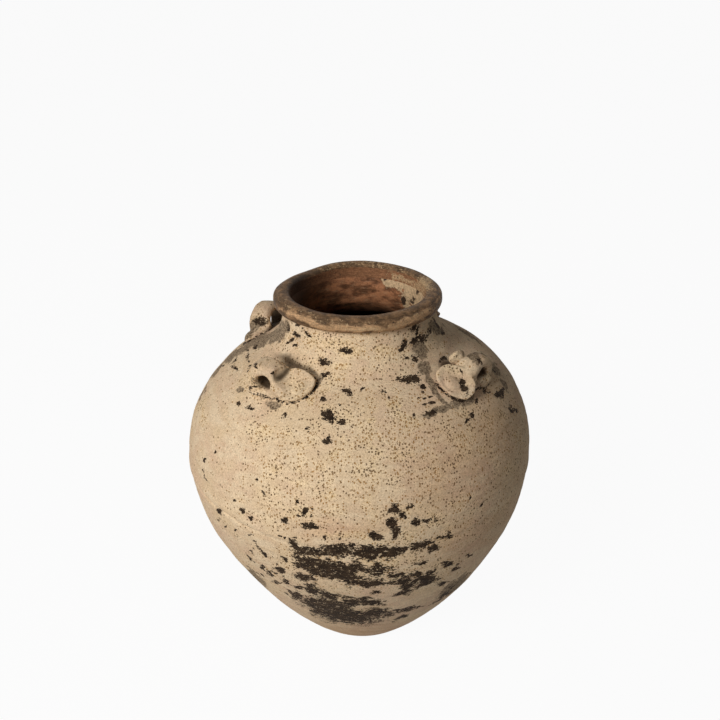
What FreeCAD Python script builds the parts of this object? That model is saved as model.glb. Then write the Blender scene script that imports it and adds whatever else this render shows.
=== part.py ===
import FreeCAD, Part

import math
import os

import Sketcher

# A glazed stoneware storage jar: a slab base, a coiled lower wall, a shoulder
# luted on just under the widest line, a short collar, a rolled rim, and four
# cord lugs pressed on to the shoulder, each with one thumbed pad.
# The origin is the centre of the underside, +Z is up, and the front is -Y.

# Driving dimensions: millimetres, and degrees for the names that end in _angle.
SIZES = (
    # walls, from the floor up
    ("base_radius", 57.0),
    ("base_thickness", 12.0),
    ("foot_bevel", 2.0),
    ("wall_thickness", 8.0),
    ("belly_radius", 165.0),
    ("belly_height", 211.0),
    ("belly_arc", 177.5),
    ("belly_arc_drop", 67.0),
    ("shoulder_arc", 109.0),
    ("seam_drop", 11.0),
    ("seam_bevel", 6.0),
    # neck and rim
    ("neck_radius", 70.2),
    ("neck_hollow", 43.2),
    ("neck_joint_angle", 36.0),
    ("collar_straight", 3.0),
    ("rim_roll", 7.5),
    ("rim_seat_drop", 6.0),
    # lugs
    ("strap_width", 19.0),
    ("strap_thickness", 8.5),
    ("strap_lift", 2.0),
    ("strap_lean_angle", 20.0),
    ("cord_hole_radius", 12.0),
    ("pad_radius", 17.5),
    ("pad_height", 5.5),
    ("pad_edge", 3.5),
    ("pad_dish", 3.0),
    ("pad_reach", 26.0),
    ("toe_reach", 20.0),
    ("toe_length", 11.0),
    ("toe_width", 9.0),
    ("toe_height", 5.0),
    ("root_depth", 4.0),
    # where each lug sits: round the jar, how far under the shoulder's top end, and its slant
    ("front_left_azimuth_angle", -137.0),
    ("front_left_drop_angle", 5.8),
    ("front_left_twist_angle", 20.0),
    ("front_right_azimuth_angle", -28.5),
    ("front_right_drop_angle", 8.8),
    ("front_right_twist_angle", 17.0),
    ("back_left_azimuth_angle", 150.0),
    ("back_left_drop_angle", 3.9),
    ("back_left_twist_angle", 0.0),
    ("back_right_azimuth_angle", 66.0),
    ("back_right_drop_angle", 6.8),
    ("back_right_twist_angle", 8.0),
)

# Places on the jar's half outline, worked out from the sizes. An _x is a
# distance from the axis and a _z a height; _in is the wall's inner face.
LINES = (
    # the belly arc, under the widest line
    ("belly_x", "Sizes.belly_radius - Sizes.belly_arc"),
    ("belly_in_x", "Sizes.belly_radius - Sizes.wall_thickness"),
    ("belly_arc_in", "Sizes.belly_arc - Sizes.wall_thickness"),
    ("belly_run", "sqrt(Sizes.belly_arc ^ 2 - Sizes.belly_arc_drop ^ 2)"),
    ("flank_x", "belly_x + belly_run"),
    ("flank_z", "Sizes.belly_height - Sizes.belly_arc_drop"),
    ("flank_in_x", "belly_x + belly_run * belly_arc_in / Sizes.belly_arc"),
    ("flank_in_z", "Sizes.belly_height - Sizes.belly_arc_drop * belly_arc_in / Sizes.belly_arc"),
    # the long arc of the lower wall, tangent to the belly arc and ending at the foot
    ("wall_lean", "(flank_x - Sizes.base_radius) * belly_run - flank_z * Sizes.belly_arc_drop"),
    ("wall_chord_squared", "(flank_x - Sizes.base_radius) ^ 2 + flank_z ^ 2"),
    ("wall_arc", "wall_chord_squared * Sizes.belly_arc / (2 * wall_lean)"),
    ("wall_arc_in", "wall_arc - Sizes.wall_thickness"),
    ("wall_x", "flank_x - wall_arc / Sizes.belly_arc * belly_run"),
    ("wall_z", "flank_z + wall_arc / Sizes.belly_arc * Sizes.belly_arc_drop"),
    # the foot and the joint between base and wall
    ("foot_x", "Sizes.base_radius - Sizes.foot_bevel"),
    ("foot_top_x", "wall_x + sqrt(wall_arc ^ 2 - (wall_z - Sizes.foot_bevel) ^ 2)"),
    ("base_joint_x", "wall_x + sqrt(wall_arc ^ 2 - (wall_z - Sizes.base_thickness) ^ 2)"),
    ("base_joint_in_x", "wall_x + sqrt(wall_arc_in ^ 2 - (wall_z - Sizes.base_thickness) ^ 2)"),
    # the bevelled seam between lower wall and shoulder
    ("seam_x", "belly_x + sqrt(Sizes.belly_arc ^ 2 - Sizes.seam_drop ^ 2)"),
    ("seam_z", "Sizes.belly_height - Sizes.seam_drop"),
    ("seam_in_x", "belly_x + sqrt(belly_arc_in ^ 2 - (Sizes.seam_drop - Sizes.seam_bevel) ^ 2)"),
    ("seam_in_z", "seam_z + Sizes.seam_bevel"),
    # the shoulder arc, and the hollow that turns it up into the neck
    ("shoulder_x", "Sizes.belly_radius - Sizes.shoulder_arc"),
    ("shoulder_arc_in", "Sizes.shoulder_arc - Sizes.wall_thickness"),
    ("hollow_arc_in", "Sizes.neck_hollow + Sizes.wall_thickness"),
    ("hollow_x", "Sizes.neck_radius + Sizes.neck_hollow"),
    ("centres_apart", "Sizes.shoulder_arc + Sizes.neck_hollow"),
    ("hollow_rise", "sqrt(centres_apart ^ 2 - (hollow_x - shoulder_x) ^ 2)"),
    ("hollow_z", "Sizes.belly_height + hollow_rise"),
    ("turn_angle", "acos((hollow_x - shoulder_x) / centres_apart) / 1 deg"),
    ("turn_x", "shoulder_x + (hollow_x - shoulder_x) * Sizes.shoulder_arc / centres_apart"),
    ("turn_z", "Sizes.belly_height + hollow_rise * Sizes.shoulder_arc / centres_apart"),
    ("turn_in_x", "shoulder_x + (hollow_x - shoulder_x) * shoulder_arc_in / centres_apart"),
    ("turn_in_z", "Sizes.belly_height + hollow_rise * shoulder_arc_in / centres_apart"),
    # the joint between shoulder and collar, square to the wall
    ("neck_joint_x", "hollow_x - Sizes.neck_hollow * cos(Sizes.neck_joint_angle)"),
    ("neck_joint_z", "hollow_z - Sizes.neck_hollow * sin(Sizes.neck_joint_angle)"),
    ("neck_joint_in_x", "hollow_x - hollow_arc_in * cos(Sizes.neck_joint_angle)"),
    ("neck_joint_in_z", "hollow_z - hollow_arc_in * sin(Sizes.neck_joint_angle)"),
    # the collar's upright top and the roll that sits on it
    ("mouth_x", "Sizes.neck_radius - Sizes.wall_thickness"),
    ("collar_top_z", "hollow_z + Sizes.collar_straight"),
    ("rim_z", "collar_top_z + Sizes.rim_seat_drop"),
    ("rim_seat_x", "mouth_x + Sizes.rim_roll + sqrt(Sizes.rim_roll ^ 2 - Sizes.rim_seat_drop ^ 2)"),
    ("rim_middle_x", "mouth_x + Sizes.rim_roll"),
    ("rim_out_x", "mouth_x + 2 * Sizes.rim_roll"),
    ("rim_top_z", "rim_z + Sizes.rim_roll"),
    # sections of a lug's strap and pad, each in the lug's own frame
    ("strap_middle", "Sizes.cord_hole_radius + Sizes.strap_thickness / 2"),
    ("strap_out", "Sizes.cord_hole_radius + Sizes.strap_thickness"),
    ("strap_side", "Sizes.strap_width / 2"),
    ("strap_end", "(Sizes.strap_width - Sizes.strap_thickness) / 2"),
    ("strap_round", "Sizes.strap_thickness / 2"),
    ("pad_side_z", "Sizes.pad_height - Sizes.pad_edge"),
    ("pad_land_x", "Sizes.pad_radius - Sizes.pad_edge"),
    ("pad_floor_z", "Sizes.pad_height - Sizes.pad_dish"),
    ("pad_dish_arc", "(pad_land_x ^ 2 + Sizes.pad_dish ^ 2) / (2 * Sizes.pad_dish)"),
    # how high on the shoulder's arc each lug sits
    ("front_left_climb", "turn_angle - Sizes.front_left_drop_angle"),
    ("front_right_climb", "turn_angle - Sizes.front_right_drop_angle"),
    ("back_left_climb", "turn_angle - Sizes.back_left_drop_angle"),
    ("back_right_climb", "turn_angle - Sizes.back_right_drop_angle"),
)

LUGS = (
    # name, and the side of the pad: 1 is anticlockwise from above, -1 clockwise
    ("front_left", 1),
    ("front_right", -1),
    ("back_left", 1),
    ("back_right", -1),
)

LEFT, RIGHT = 1, -1  # where an arc's centre lies, seen along the outline


def fill_sheets(doc):
    """The driving dimensions as plain numbers, and the places worked out from them."""
    sizes = doc.addObject("Spreadsheet::Sheet", "Sizes")
    for row, (alias, value) in enumerate(SIZES, start=1):
        sizes.set(f"A{row}", alias.replace("_", " "))
        sizes.set(f"B{row}", str(value))
        sizes.setAlias(f"B{row}", alias)
    doc.recompute()
    lines = doc.addObject("Spreadsheet::Sheet", "Lines")
    for row, (alias, formula) in enumerate(LINES, start=1):
        lines.set(f"A{row}", alias.replace("_", " "))
        lines.set(f"B{row}", "=" + formula)
        lines.setAlias(f"B{row}", alias)
        doc.recompute()
    return sizes, lines


class Outline:
    """A closed sketch of corners joined by straight and round stretches."""

    def __init__(self, doc, body, plane_role, axis):
        self.doc = doc
        self.body = body
        self.axis = axis
        self.sketch = body.newObject("Sketcher::SketchObject", body.Name + "_outline")
        planes = [part for part in body.Origin.OriginFeatures if part.Role == plane_role]
        self.sketch.AttachmentSupport = [(planes[0], "")]
        self.sketch.MapMode = "FlatFace"

    def value(self, name):
        """The number that a sheet holds under a name such as Sizes.rim_roll."""
        if name == "0":
            return 0.0
        sheet, alias = name.lstrip("-").split(".")
        number = float(getattr(self.doc.getObject(sheet), alias))
        return -number if name.startswith("-") else number

    def point(self, corner):
        return FreeCAD.Vector(self.value(corner[0]), self.value(corner[1]), 0)

    def arc(self, start, end, radius, side):
        """An arc from start to end, and the ids of its vertices at those points."""
        chord = end - start
        half = chord.Length / 2
        normal = FreeCAD.Vector(-chord.y, chord.x, 0).normalize()
        centre = (start + end) / 2 + normal * side * math.sqrt(max(radius ** 2 - half ** 2, 0))
        first, last = (start, end) if side == LEFT else (end, start)
        angles = [math.atan2(spot.y - centre.y, spot.x - centre.x) for spot in (first, last)]
        circle = Part.Circle(centre, FreeCAD.Vector(0, 0, 1), radius)
        edge = Part.ArcOfCircle(circle, angles[0], angles[1])
        return edge, (1, 2) if side == LEFT else (2, 1)

    def bind(self, kind, where, name):
        """One dimension of the sketch, tied to a cell of a sheet."""
        number = self.value(name)
        index = self.sketch.addConstraint(Sketcher.Constraint(kind, *where, number))
        self.sketch.setExpression(f"Constraints[{index}]", name)

    def place(self, edge, vertex, corner):
        """Fix a corner at its distances from the sketch's two axes."""
        for kind, name, axis in (("DistanceX", corner[0], -2), ("DistanceY", corner[1], -1)):
            if name == "0":
                self.sketch.addConstraint(Sketcher.Constraint("PointOnObject", edge, vertex, axis))
            else:
                self.bind(kind, (-1, 1, edge, vertex), name)

    def close(self, corners, rounds):
        """Draw the outline; rounds gives radius and side of the arc after a corner."""
        ends = []
        count = len(corners)
        for index, corner in enumerate(corners):
            start = self.point(corner)
            end = self.point(corners[(index + 1) % count])
            if index in rounds:
                radius, side = rounds[index]
                edge, vertices = self.arc(start, end, self.value(radius), side)
            else:
                edge, vertices = Part.LineSegment(start, end), (1, 2)
            ends.append((self.sketch.addGeometry(edge, False), vertices))
        for index, (edge, vertices) in enumerate(ends):
            last_edge, last_vertices = ends[index - 1]
            joint = Sketcher.Constraint("Coincident", last_edge, last_vertices[1], edge, vertices[0])
            self.sketch.addConstraint(joint)
            self.place(edge, vertices[0], corners[index])
            if index in rounds:
                self.bind("Radius", (edge,), rounds[index][0])

    def turn(self):
        """Revolve the outline once round its axis."""
        turning = self.body.newObject("PartDesign::Revolution", self.body.Name + "_turned")
        turning.Profile = self.sketch
        turning.ReferenceAxis = (self.sketch, [self.axis])
        turning.Angle = 360.0
        self.body.Tip = turning
        return self.body


def turned_body(doc, name, corners, rounds, plane_role="XZ_Plane", axis="V_Axis"):
    body = doc.addObject("PartDesign::Body", name)
    body.Label = name
    outline = Outline(doc, body, plane_role, axis)
    outline.close(corners, rounds)
    return outline.turn()


def base_disc(doc):
    """The flat slab that the jar stands on; the wall stands on its edge."""
    corners = (
        ("0", "0"),
        ("Lines.foot_x", "0"),
        ("Lines.foot_top_x", "Sizes.foot_bevel"),
        ("Lines.base_joint_x", "Sizes.base_thickness"),
        ("0", "Sizes.base_thickness"),
    )
    return turned_body(doc, "base_disc", corners, {2: ("Lines.wall_arc", LEFT)})


def lower_wall(doc):
    """From the base to the seam just under the widest line."""
    corners = (
        ("Lines.base_joint_in_x", "Sizes.base_thickness"),
        ("Lines.base_joint_x", "Sizes.base_thickness"),
        ("Lines.flank_x", "Lines.flank_z"),
        ("Lines.seam_x", "Lines.seam_z"),
        ("Lines.seam_in_x", "Lines.seam_in_z"),
        ("Lines.flank_in_x", "Lines.flank_in_z"),
    )
    rounds = {
        1: ("Lines.wall_arc", LEFT),
        2: ("Sizes.belly_arc", LEFT),
        4: ("Lines.belly_arc_in", RIGHT),
        5: ("Lines.wall_arc_in", RIGHT),
    }
    return turned_body(doc, "lower_wall", corners, rounds)


def shoulder_wall(doc):
    """From the seam over the widest line and up the shoulder to the neck."""
    corners = (
        ("Lines.seam_in_x", "Lines.seam_in_z"),
        ("Lines.seam_x", "Lines.seam_z"),
        ("Sizes.belly_radius", "Sizes.belly_height"),
        ("Lines.turn_x", "Lines.turn_z"),
        ("Lines.neck_joint_x", "Lines.neck_joint_z"),
        ("Lines.neck_joint_in_x", "Lines.neck_joint_in_z"),
        ("Lines.turn_in_x", "Lines.turn_in_z"),
        ("Lines.belly_in_x", "Sizes.belly_height"),
    )
    rounds = {
        1: ("Sizes.belly_arc", LEFT),
        2: ("Sizes.shoulder_arc", LEFT),
        3: ("Sizes.neck_hollow", RIGHT),
        5: ("Lines.hollow_arc_in", LEFT),
        6: ("Lines.shoulder_arc_in", RIGHT),
        7: ("Lines.belly_arc_in", RIGHT),
    }
    return turned_body(doc, "shoulder_wall", corners, rounds)


def neck_collar(doc):
    """The short hollowed neck between the shoulder and the rim."""
    corners = (
        ("Lines.neck_joint_in_x", "Lines.neck_joint_in_z"),
        ("Lines.neck_joint_x", "Lines.neck_joint_z"),
        ("Sizes.neck_radius", "Lines.hollow_z"),
        ("Sizes.neck_radius", "Lines.collar_top_z"),
        ("Lines.mouth_x", "Lines.collar_top_z"),
        ("Lines.mouth_x", "Lines.hollow_z"),
    )
    rounds = {
        1: ("Sizes.neck_hollow", RIGHT),
        5: ("Lines.hollow_arc_in", LEFT),
    }
    return turned_body(doc, "neck_collar", corners, rounds)


def rolled_rim(doc):
    """A round roll of clay, flattened where it is pressed on to the collar."""
    corners = (
        ("Lines.mouth_x", "Lines.collar_top_z"),
        ("Lines.rim_seat_x", "Lines.collar_top_z"),
        ("Lines.rim_out_x", "Lines.rim_z"),
        ("Lines.rim_middle_x", "Lines.rim_top_z"),
        ("Lines.mouth_x", "Lines.rim_z"),
    )
    rounds = {corner: ("Sizes.rim_roll", LEFT) for corner in (1, 2, 3)}
    return turned_body(doc, "rolled_rim", corners, rounds)


def seat_form(doc):
    """The jar's outer surface from belly to collar, filled in: what the lugs sit on."""
    corners = (
        ("0", "Sizes.belly_height"),
        ("Sizes.belly_radius", "Sizes.belly_height"),
        ("Lines.turn_x", "Lines.turn_z"),
        ("Sizes.neck_radius", "Lines.hollow_z"),
        ("Sizes.neck_radius", "Lines.collar_top_z"),
        ("0", "Lines.collar_top_z"),
    )
    rounds = {
        1: ("Sizes.shoulder_arc", LEFT),
        2: ("Sizes.neck_hollow", RIGHT),
    }
    return turned_body(doc, "seat_form", corners, rounds)


def on_shoulder(turn, climb, twist="0", lean="0", lift="0"):
    """A placement on the shoulder: X down the slope, Y round the jar, Z straight out."""
    reach = f"(Lines.shoulder_x + (Sizes.shoulder_arc + {lift}) * cos({climb}))"
    height = f"Sizes.belly_height + (Sizes.shoulder_arc + {lift}) * sin({climb})"
    spot = f"vector({reach} * cos({turn}); {reach} * sin({turn}); {height})"
    facing = f"rotationz({turn}) * rotationy(90 - ({climb})) * rotationz({twist}) * rotationy(-{lean})"
    return f"placement({spot}; {facing})"


def lug(doc, name, side, seat):
    """A strap arched over the cord hole, a thumbed pad at one end and a toe at the other."""
    climb = f"Lines.{name}_climb"
    twist = f"Sizes.{name}_twist_angle"
    to_degrees = 180 / math.pi

    def along(reach, sign):
        """Turn and climb of a spot on the shoulder, a reach along the strap from its middle."""
        round_jar = f"(Lines.shoulder_x + Sizes.shoulder_arc * cos({climb}))"
        turn = f"{sign * side * to_degrees} * {reach} * cos({twist}) / {round_jar}"
        rise = f"{sign * to_degrees} * {reach} * sin({twist}) / Sizes.shoulder_arc"
        return turn, f"{climb} + {rise}"

    strap = turned_body(doc, f"{name}_strap", (
        ("-Lines.strap_end", "Sizes.cord_hole_radius"),
        ("Lines.strap_end", "Sizes.cord_hole_radius"),
        ("Lines.strap_side", "Lines.strap_middle"),
        ("Lines.strap_end", "Lines.strap_out"),
        ("-Lines.strap_end", "Lines.strap_out"),
        ("-Lines.strap_side", "Lines.strap_middle"),
    ), {corner: ("Lines.strap_round", LEFT) for corner in (1, 2, 4, 5)}, axis="H_Axis")
    stance = on_shoulder("0", climb, f"{side} * {twist}", "Sizes.strap_lean_angle", "Sizes.strap_lift")
    strap.setExpression("Placement", stance)

    pad = turned_body(doc, f"{name}_pad", (
        ("0", "-Sizes.root_depth"),
        ("Sizes.pad_radius", "-Sizes.root_depth"),
        ("Sizes.pad_radius", "Lines.pad_side_z"),
        ("Lines.pad_land_x", "Sizes.pad_height"),
        ("0", "Lines.pad_floor_z"),
    ), {2: ("Sizes.pad_edge", LEFT), 3: ("Lines.pad_dish_arc", RIGHT)})
    pad.setExpression("Placement", on_shoulder(*along("Sizes.pad_reach", 1)))

    toe = doc.addObject("Part::Ellipsoid", f"{name}_toe")
    toe.setExpression("Radius1", "Sizes.toe_height")
    toe.setExpression("Radius2", "Sizes.toe_width")
    toe.setExpression("Radius3", "Sizes.toe_length")
    toe.setExpression("Placement", on_shoulder(*along("Sizes.toe_reach", -1)))

    clay = doc.addObject("Part::MultiFuse", f"{name}_clay")
    clay.Shapes = [strap, pad, toe]
    piece = doc.addObject("Part::Cut", f"lug_{name}")
    piece.Label = f"lug_{name}"
    piece.Base = clay
    piece.Tool = seat
    round_jar = f"placement(vector(0; 0; 0); rotationz(Sizes.{name}_azimuth_angle))"
    piece.setExpression("Placement", round_jar)
    return piece


def check(doc, pieces):
    """Stop if any object failed, or if a piece isn't one whole, valid solid."""
    for thing in doc.Objects:
        if "Invalid" in thing.State or "Error" in thing.State:
            raise RuntimeError(f"{thing.Name} failed: {thing.State}")
    for piece in pieces:
        shape = piece.Shape
        if shape.isNull() or not shape.isValid() or len(shape.Solids) != 1:
            raise RuntimeError(f"{piece.Label} isn't one valid solid")


def main():
    doc = FreeCAD.newDocument("storage_jar")
    fill_sheets(doc)
    pieces = [base_disc(doc), lower_wall(doc), shoulder_wall(doc), neck_collar(doc), rolled_rim(doc)]
    seat = seat_form(doc)
    pieces += [lug(doc, name, side, seat) for name, side in LUGS]
    doc.recompute()
    check(doc, pieces)
    os.makedirs("parts", exist_ok=True)
    for piece in pieces:
        piece.Shape.exportStep(f"parts/{piece.Label}.step")
        corner = piece.Shape.optimalBoundingBox()
        print(f"{piece.Label}: {piece.Shape.Volume / 1000:.1f} cm3, z {corner.ZMin:.1f} to {corner.ZMax:.1f}")


main()
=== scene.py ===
import math

import bpy
import numpy as np
from mathutils import Euler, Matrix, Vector


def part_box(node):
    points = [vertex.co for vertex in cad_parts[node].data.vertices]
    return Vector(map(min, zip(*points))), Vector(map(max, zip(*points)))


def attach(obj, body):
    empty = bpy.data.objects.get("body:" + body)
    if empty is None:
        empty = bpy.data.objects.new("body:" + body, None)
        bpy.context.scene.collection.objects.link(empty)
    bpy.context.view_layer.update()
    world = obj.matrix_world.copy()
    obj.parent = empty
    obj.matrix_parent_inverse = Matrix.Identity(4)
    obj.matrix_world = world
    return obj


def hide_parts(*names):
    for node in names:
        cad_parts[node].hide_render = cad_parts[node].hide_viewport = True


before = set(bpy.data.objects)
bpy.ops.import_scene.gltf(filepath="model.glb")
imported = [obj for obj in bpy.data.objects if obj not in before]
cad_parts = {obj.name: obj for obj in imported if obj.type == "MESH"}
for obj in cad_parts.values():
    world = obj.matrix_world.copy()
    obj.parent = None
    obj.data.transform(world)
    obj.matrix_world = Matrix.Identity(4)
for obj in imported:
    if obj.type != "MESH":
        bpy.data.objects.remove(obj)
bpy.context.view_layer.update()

# Everything is in metres. +Z is up, the camera stands at -Y, azimuths are
# measured anticlockwise from +X, and MM turns millimetres into metres.
MM = 0.001


# ---------------------------------------------------------------- the outline

BASE_RADIUS = 57 * MM
FOOT_ROUND = 3 * MM
WALL = 8 * MM
BELLY_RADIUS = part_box("shoulder_wall")[1][0]
BELLY_HEIGHT = 211 * MM
BELLY_ARC = 177.5 * MM
BELLY_ARC_DROP = 67 * MM
SHOULDER_ARC = 109 * MM
NECK_RADIUS = 70.2 * MM
NECK_HOLLOW = 43.2 * MM
NECK_JOINT_ANGLE = math.radians(36)
SEAM_DROP = 11 * MM
SEAM_BEVEL = 6 * MM
RIM_ROLL = 7.5 * MM
FLOOR_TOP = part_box("base_disc")[1][2]
COLLAR_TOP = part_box("neck_collar")[1][2]
RIM_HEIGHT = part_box("rolled_rim")[1][2] - RIM_ROLL
MOUTH_RADIUS = NECK_RADIUS - WALL

# centres of the four arcs that the outline is made of, as (distance from axis, height)
BELLY_CENTRE = (BELLY_RADIUS - BELLY_ARC, BELLY_HEIGHT)
FLANK_TURN = math.asin(BELLY_ARC_DROP / BELLY_ARC)
FLANK = (BELLY_CENTRE[0] + BELLY_ARC * math.cos(FLANK_TURN), BELLY_HEIGHT - BELLY_ARC_DROP)
WALL_CHORD = (FLANK[0] - BASE_RADIUS) ** 2 + FLANK[1] ** 2
WALL_LEAN = (FLANK[0] - BASE_RADIUS) * math.cos(FLANK_TURN) - FLANK[1] * math.sin(FLANK_TURN)
WALL_ARC = WALL_CHORD / (2 * WALL_LEAN)
WALL_CENTRE = (FLANK[0] - WALL_ARC * math.cos(FLANK_TURN), FLANK[1] + WALL_ARC * math.sin(FLANK_TURN))
SHOULDER_CENTRE = (BELLY_RADIUS - SHOULDER_ARC, BELLY_HEIGHT)
HOLLOW_X = NECK_RADIUS + NECK_HOLLOW
CENTRES_APART = SHOULDER_ARC + NECK_HOLLOW
SHOULDER_TURN = math.acos((HOLLOW_X - SHOULDER_CENTRE[0]) / CENTRES_APART)
HOLLOW_CENTRE = (HOLLOW_X, BELLY_HEIGHT + CENTRES_APART * math.sin(SHOULDER_TURN))


def arc(centre, radius, first, last, step):
    """Points of an arc from one angle to another, no further apart than step."""
    count = max(2, int(math.ceil(abs(last - first) * radius / step)) + 1)
    angles = np.linspace(first, last, count)
    return np.stack([centre[0] + radius * np.cos(angles), centre[1] + radius * np.sin(angles)], 1)


def angle_at(centre, radius, height):
    return math.asin((height - centre[1]) / radius)


def wall_line(depth, step):
    """The wall's profile from z = 0 to the collar's top, at a depth under the outer face."""
    low = WALL_ARC - depth
    belly = BELLY_ARC - depth
    shoulder = SHOULDER_ARC - depth
    hollow = NECK_HOLLOW + depth
    start = angle_at(WALL_CENTRE, low, 0)
    joint = math.pi + SHOULDER_TURN
    stretches = (
        arc(WALL_CENTRE, low, start, -FLANK_TURN, step),
        arc(BELLY_CENTRE, belly, -FLANK_TURN, 0, step)[1:],
        arc(SHOULDER_CENTRE, shoulder, 0, SHOULDER_TURN, step)[1:],
        arc(HOLLOW_CENTRE, hollow, joint, math.pi, step)[1:],
        np.array([[NECK_RADIUS - depth, COLLAR_TOP]]),
    )
    return np.concatenate(stretches)


LINE_STEP = 0.5 * MM
OUTER_LINE = wall_line(0, LINE_STEP)
INNER_LINE = wall_line(WALL, LINE_STEP)


def line_radius(line, height):
    return np.interp(height, line[:, 1], line[:, 0])


def lengths_along(line):
    """How far along a line each of its points lies."""
    steps = np.linalg.norm(np.diff(line, axis=0), axis=1)
    return np.concatenate([[0], np.cumsum(steps)])


def between(line, low, high, step):
    """The part of a profile between two heights, as evenly spaced points."""
    radius_low, radius_high = (float(line_radius(line, height)) for height in (low, high))
    middle = line[(line[:, 1] > low) & (line[:, 1] < high)]
    points = np.vstack([[radius_low, low], middle, [radius_high, high]])
    lengths = lengths_along(points)
    spots = np.linspace(0, lengths[-1], max(2, int(math.ceil(lengths[-1] / step)) + 1))
    return np.stack([np.interp(spots, lengths, points[:, axis]) for axis in (0, 1)], 1)


def height_on(centre, radius, angle):
    return centre[1] + radius * math.sin(angle)


SEAM_HEIGHT = BELLY_HEIGHT - SEAM_DROP
SEAM_IN_HEIGHT = SEAM_HEIGHT + SEAM_BEVEL
NECK_JOINT = height_on(HOLLOW_CENTRE, -NECK_HOLLOW, NECK_JOINT_ANGLE)
NECK_JOINT_IN = height_on(HOLLOW_CENTRE, -(NECK_HOLLOW + WALL), NECK_JOINT_ANGLE)


# ---------------------------------------------------------------- noise


def smooth(low, high, value):
    """0 below low, 1 above high, and an S-curve between."""
    part = np.clip((value - low) / (high - low), 0, 1)
    return part * part * (3 - 2 * part)


def noise(points, size, seed, octaves=1):
    """Smooth value noise from -1 to 1, of features about one size across."""
    total = np.zeros(len(points))
    weight, scale = 1.0, 1 / np.asarray(size, float)
    weights = 0
    for octave in range(octaves):
        places = points * scale + seed * 17.31 + octave * 5.7
        cell = np.floor(places).astype(np.int64)
        part = places - cell
        part = part * part * (3 - 2 * part)
        value = np.zeros(len(points))
        for corner in np.ndindex(2, 2, 2):
            # a hash gives each corner of a cell its own value from 0 to 2
            spot = cell + corner
            mixed = spot[:, 0] * 73856093 ^ spot[:, 1] * 19349663 ^ spot[:, 2] * 83492791
            mixed = (mixed ^ (mixed >> 13)) * 1274126177 & 0xFFFFFFFF
            share = np.prod(np.where(corner, part, 1 - part), axis=1)
            value += share * ((mixed ^ (mixed >> 16)) & 0xFFFF) / 32767.5
        total += weight * (value - 1)
        weights += weight
        weight *= 0.5
        scale = scale * 2.03
    return total / weights * 1.6


# ---------------------------------------------------------------- the potter's hand


def azimuth_bump(azimuth, middle, width):
    """1 at an azimuth, falling to 0 at a width either side (degrees)."""
    away = (np.degrees(azimuth) - middle + 180) % 360 - 180
    return np.exp(-(away / width) ** 2)


def bump(value, middle, width):
    return np.exp(-((value - middle) / width) ** 2)


RING_SPACING = 9.5 * MM
RING_DEPTH = 0.16 * MM
LEDGE_HEIGHT = 296 * MM
# azimuth and width in degrees of the seam's two stretches that show
SEAM_LEFT = (-150, 34)
SEAM_RIGHT = (-25, 30)
SEAM_GROOVE = 2.0 * MM
SEAM_LIP = 1.6 * MM
THROAT_HEIGHT = 325.5 * MM
# how far the handmade jar's axis stands to the right of the true one: height and shift in mm
DRIFT = (
    (0, 2.8), (60, 2.8), (120, 1.4), (200, -0.6), (260, 0.2), (300, 2.5), (322, 1.6), (352, -1.6),
    (369, -2.0),
)


def throwing_rings(height):
    """Low ridges left by the fingers as the wall turned, and a ledge under the neck."""
    wander = 1.5 * np.sin(height / (31 * MM)) + 1.1 * np.sin(height / (13 * MM))
    fade = 0.35 + 0.65 * smooth(120 * MM, 300 * MM, height)
    ridges = RING_DEPTH * fade * np.sin(height / RING_SPACING * 2 * math.pi + 3 * wander)
    return ridges + 0.35 * MM * bump(height, LEDGE_HEIGHT, 1.4 * MM)


def drift(height):
    heights, shifts = np.array(DRIFT).T * MM
    return np.interp(height, heights, shifts)


def seam_crease(azimuth, height):
    """The crease where the shoulder was luted on: sharp at the left, a soft ridge at the right."""
    left, right = azimuth_bump(azimuth, *SEAM_LEFT), azimuth_bump(azimuth, *SEAM_RIGHT)
    line = SEAM_HEIGHT + 2.5 * MM * np.sin(2 * azimuth + 1.0) + 1.2 * MM * np.sin(7 * azimuth)
    away = (height - line) / MM
    groove = -SEAM_GROOVE * bump(away, 0, 1.6) * (left + 0.12)
    lip = SEAM_LIP * bump(away, 4.8, 4.0) * (left + 0.6 * right)
    return groove + lip


def throat_ridge(height):
    """The ledge inside, where the collar was thickened on to the shoulder."""
    ledge = -1.6 * MM * bump(height, THROAT_HEIGHT, 2.2 * MM)
    return ledge - 0.5 * MM * bump(height, 338 * MM, 5 * MM)


def rim_lean(azimuth):
    """The mouth isn't quite round: pressed in at the back left."""
    return -3.4 * MM * azimuth_bump(azimuth, 137, 24) + 0.9 * MM * azimuth_bump(azimuth, 178, 30)


def out_of_round(points, azimuth, size):
    """The wall is a little oval and three-sided, uneven, and flatter on the left shoulder."""
    change = size * 1.1 * MM * np.cos(2 * azimuth - 0.8)
    change += size * 0.6 * MM * np.cos(3 * azimuth + 1.9)
    change += 0.7 * MM * noise(points, 90 * MM, 3)
    change += 0.25 * MM * noise(points * (1, 1, 2), 28 * MM, 5)
    height = points[:, 2]
    change += smooth(335 * MM, 356 * MM, height) * rim_lean(azimuth)
    return change - 1.8 * MM * azimuth_bump(azimuth, 178, 36) * bump(height, 285 * MM, 30 * MM)


def shaped(points, outside):
    """Handmade unevenness for points of the true surface, the same for every piece."""
    x, y, z = points.T
    radius = np.hypot(x, y)
    azimuth = np.arctan2(y, x)
    change = out_of_round(points, azimuth, radius / BELLY_RADIUS)
    change += outside * throwing_rings(z + 2 * MM * noise(points, 120 * MM, 8))
    change += outside * seam_crease(azimuth, z)
    change += (1 - outside) * throat_ridge(z + 1.5 * MM * noise(points, 60 * MM, 9))
    change *= smooth(0, 20 * MM, radius)
    steep = smooth(0, 1.5 * MM, z) if outside else 1.0
    wide = 1 + change * steep / np.maximum(radius, 1 * MM)
    return np.stack([x * wide + drift(z), y * wide, z], 1)


# ---------------------------------------------------------------- meshes

SHARP_EDGE = math.radians(50)
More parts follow.
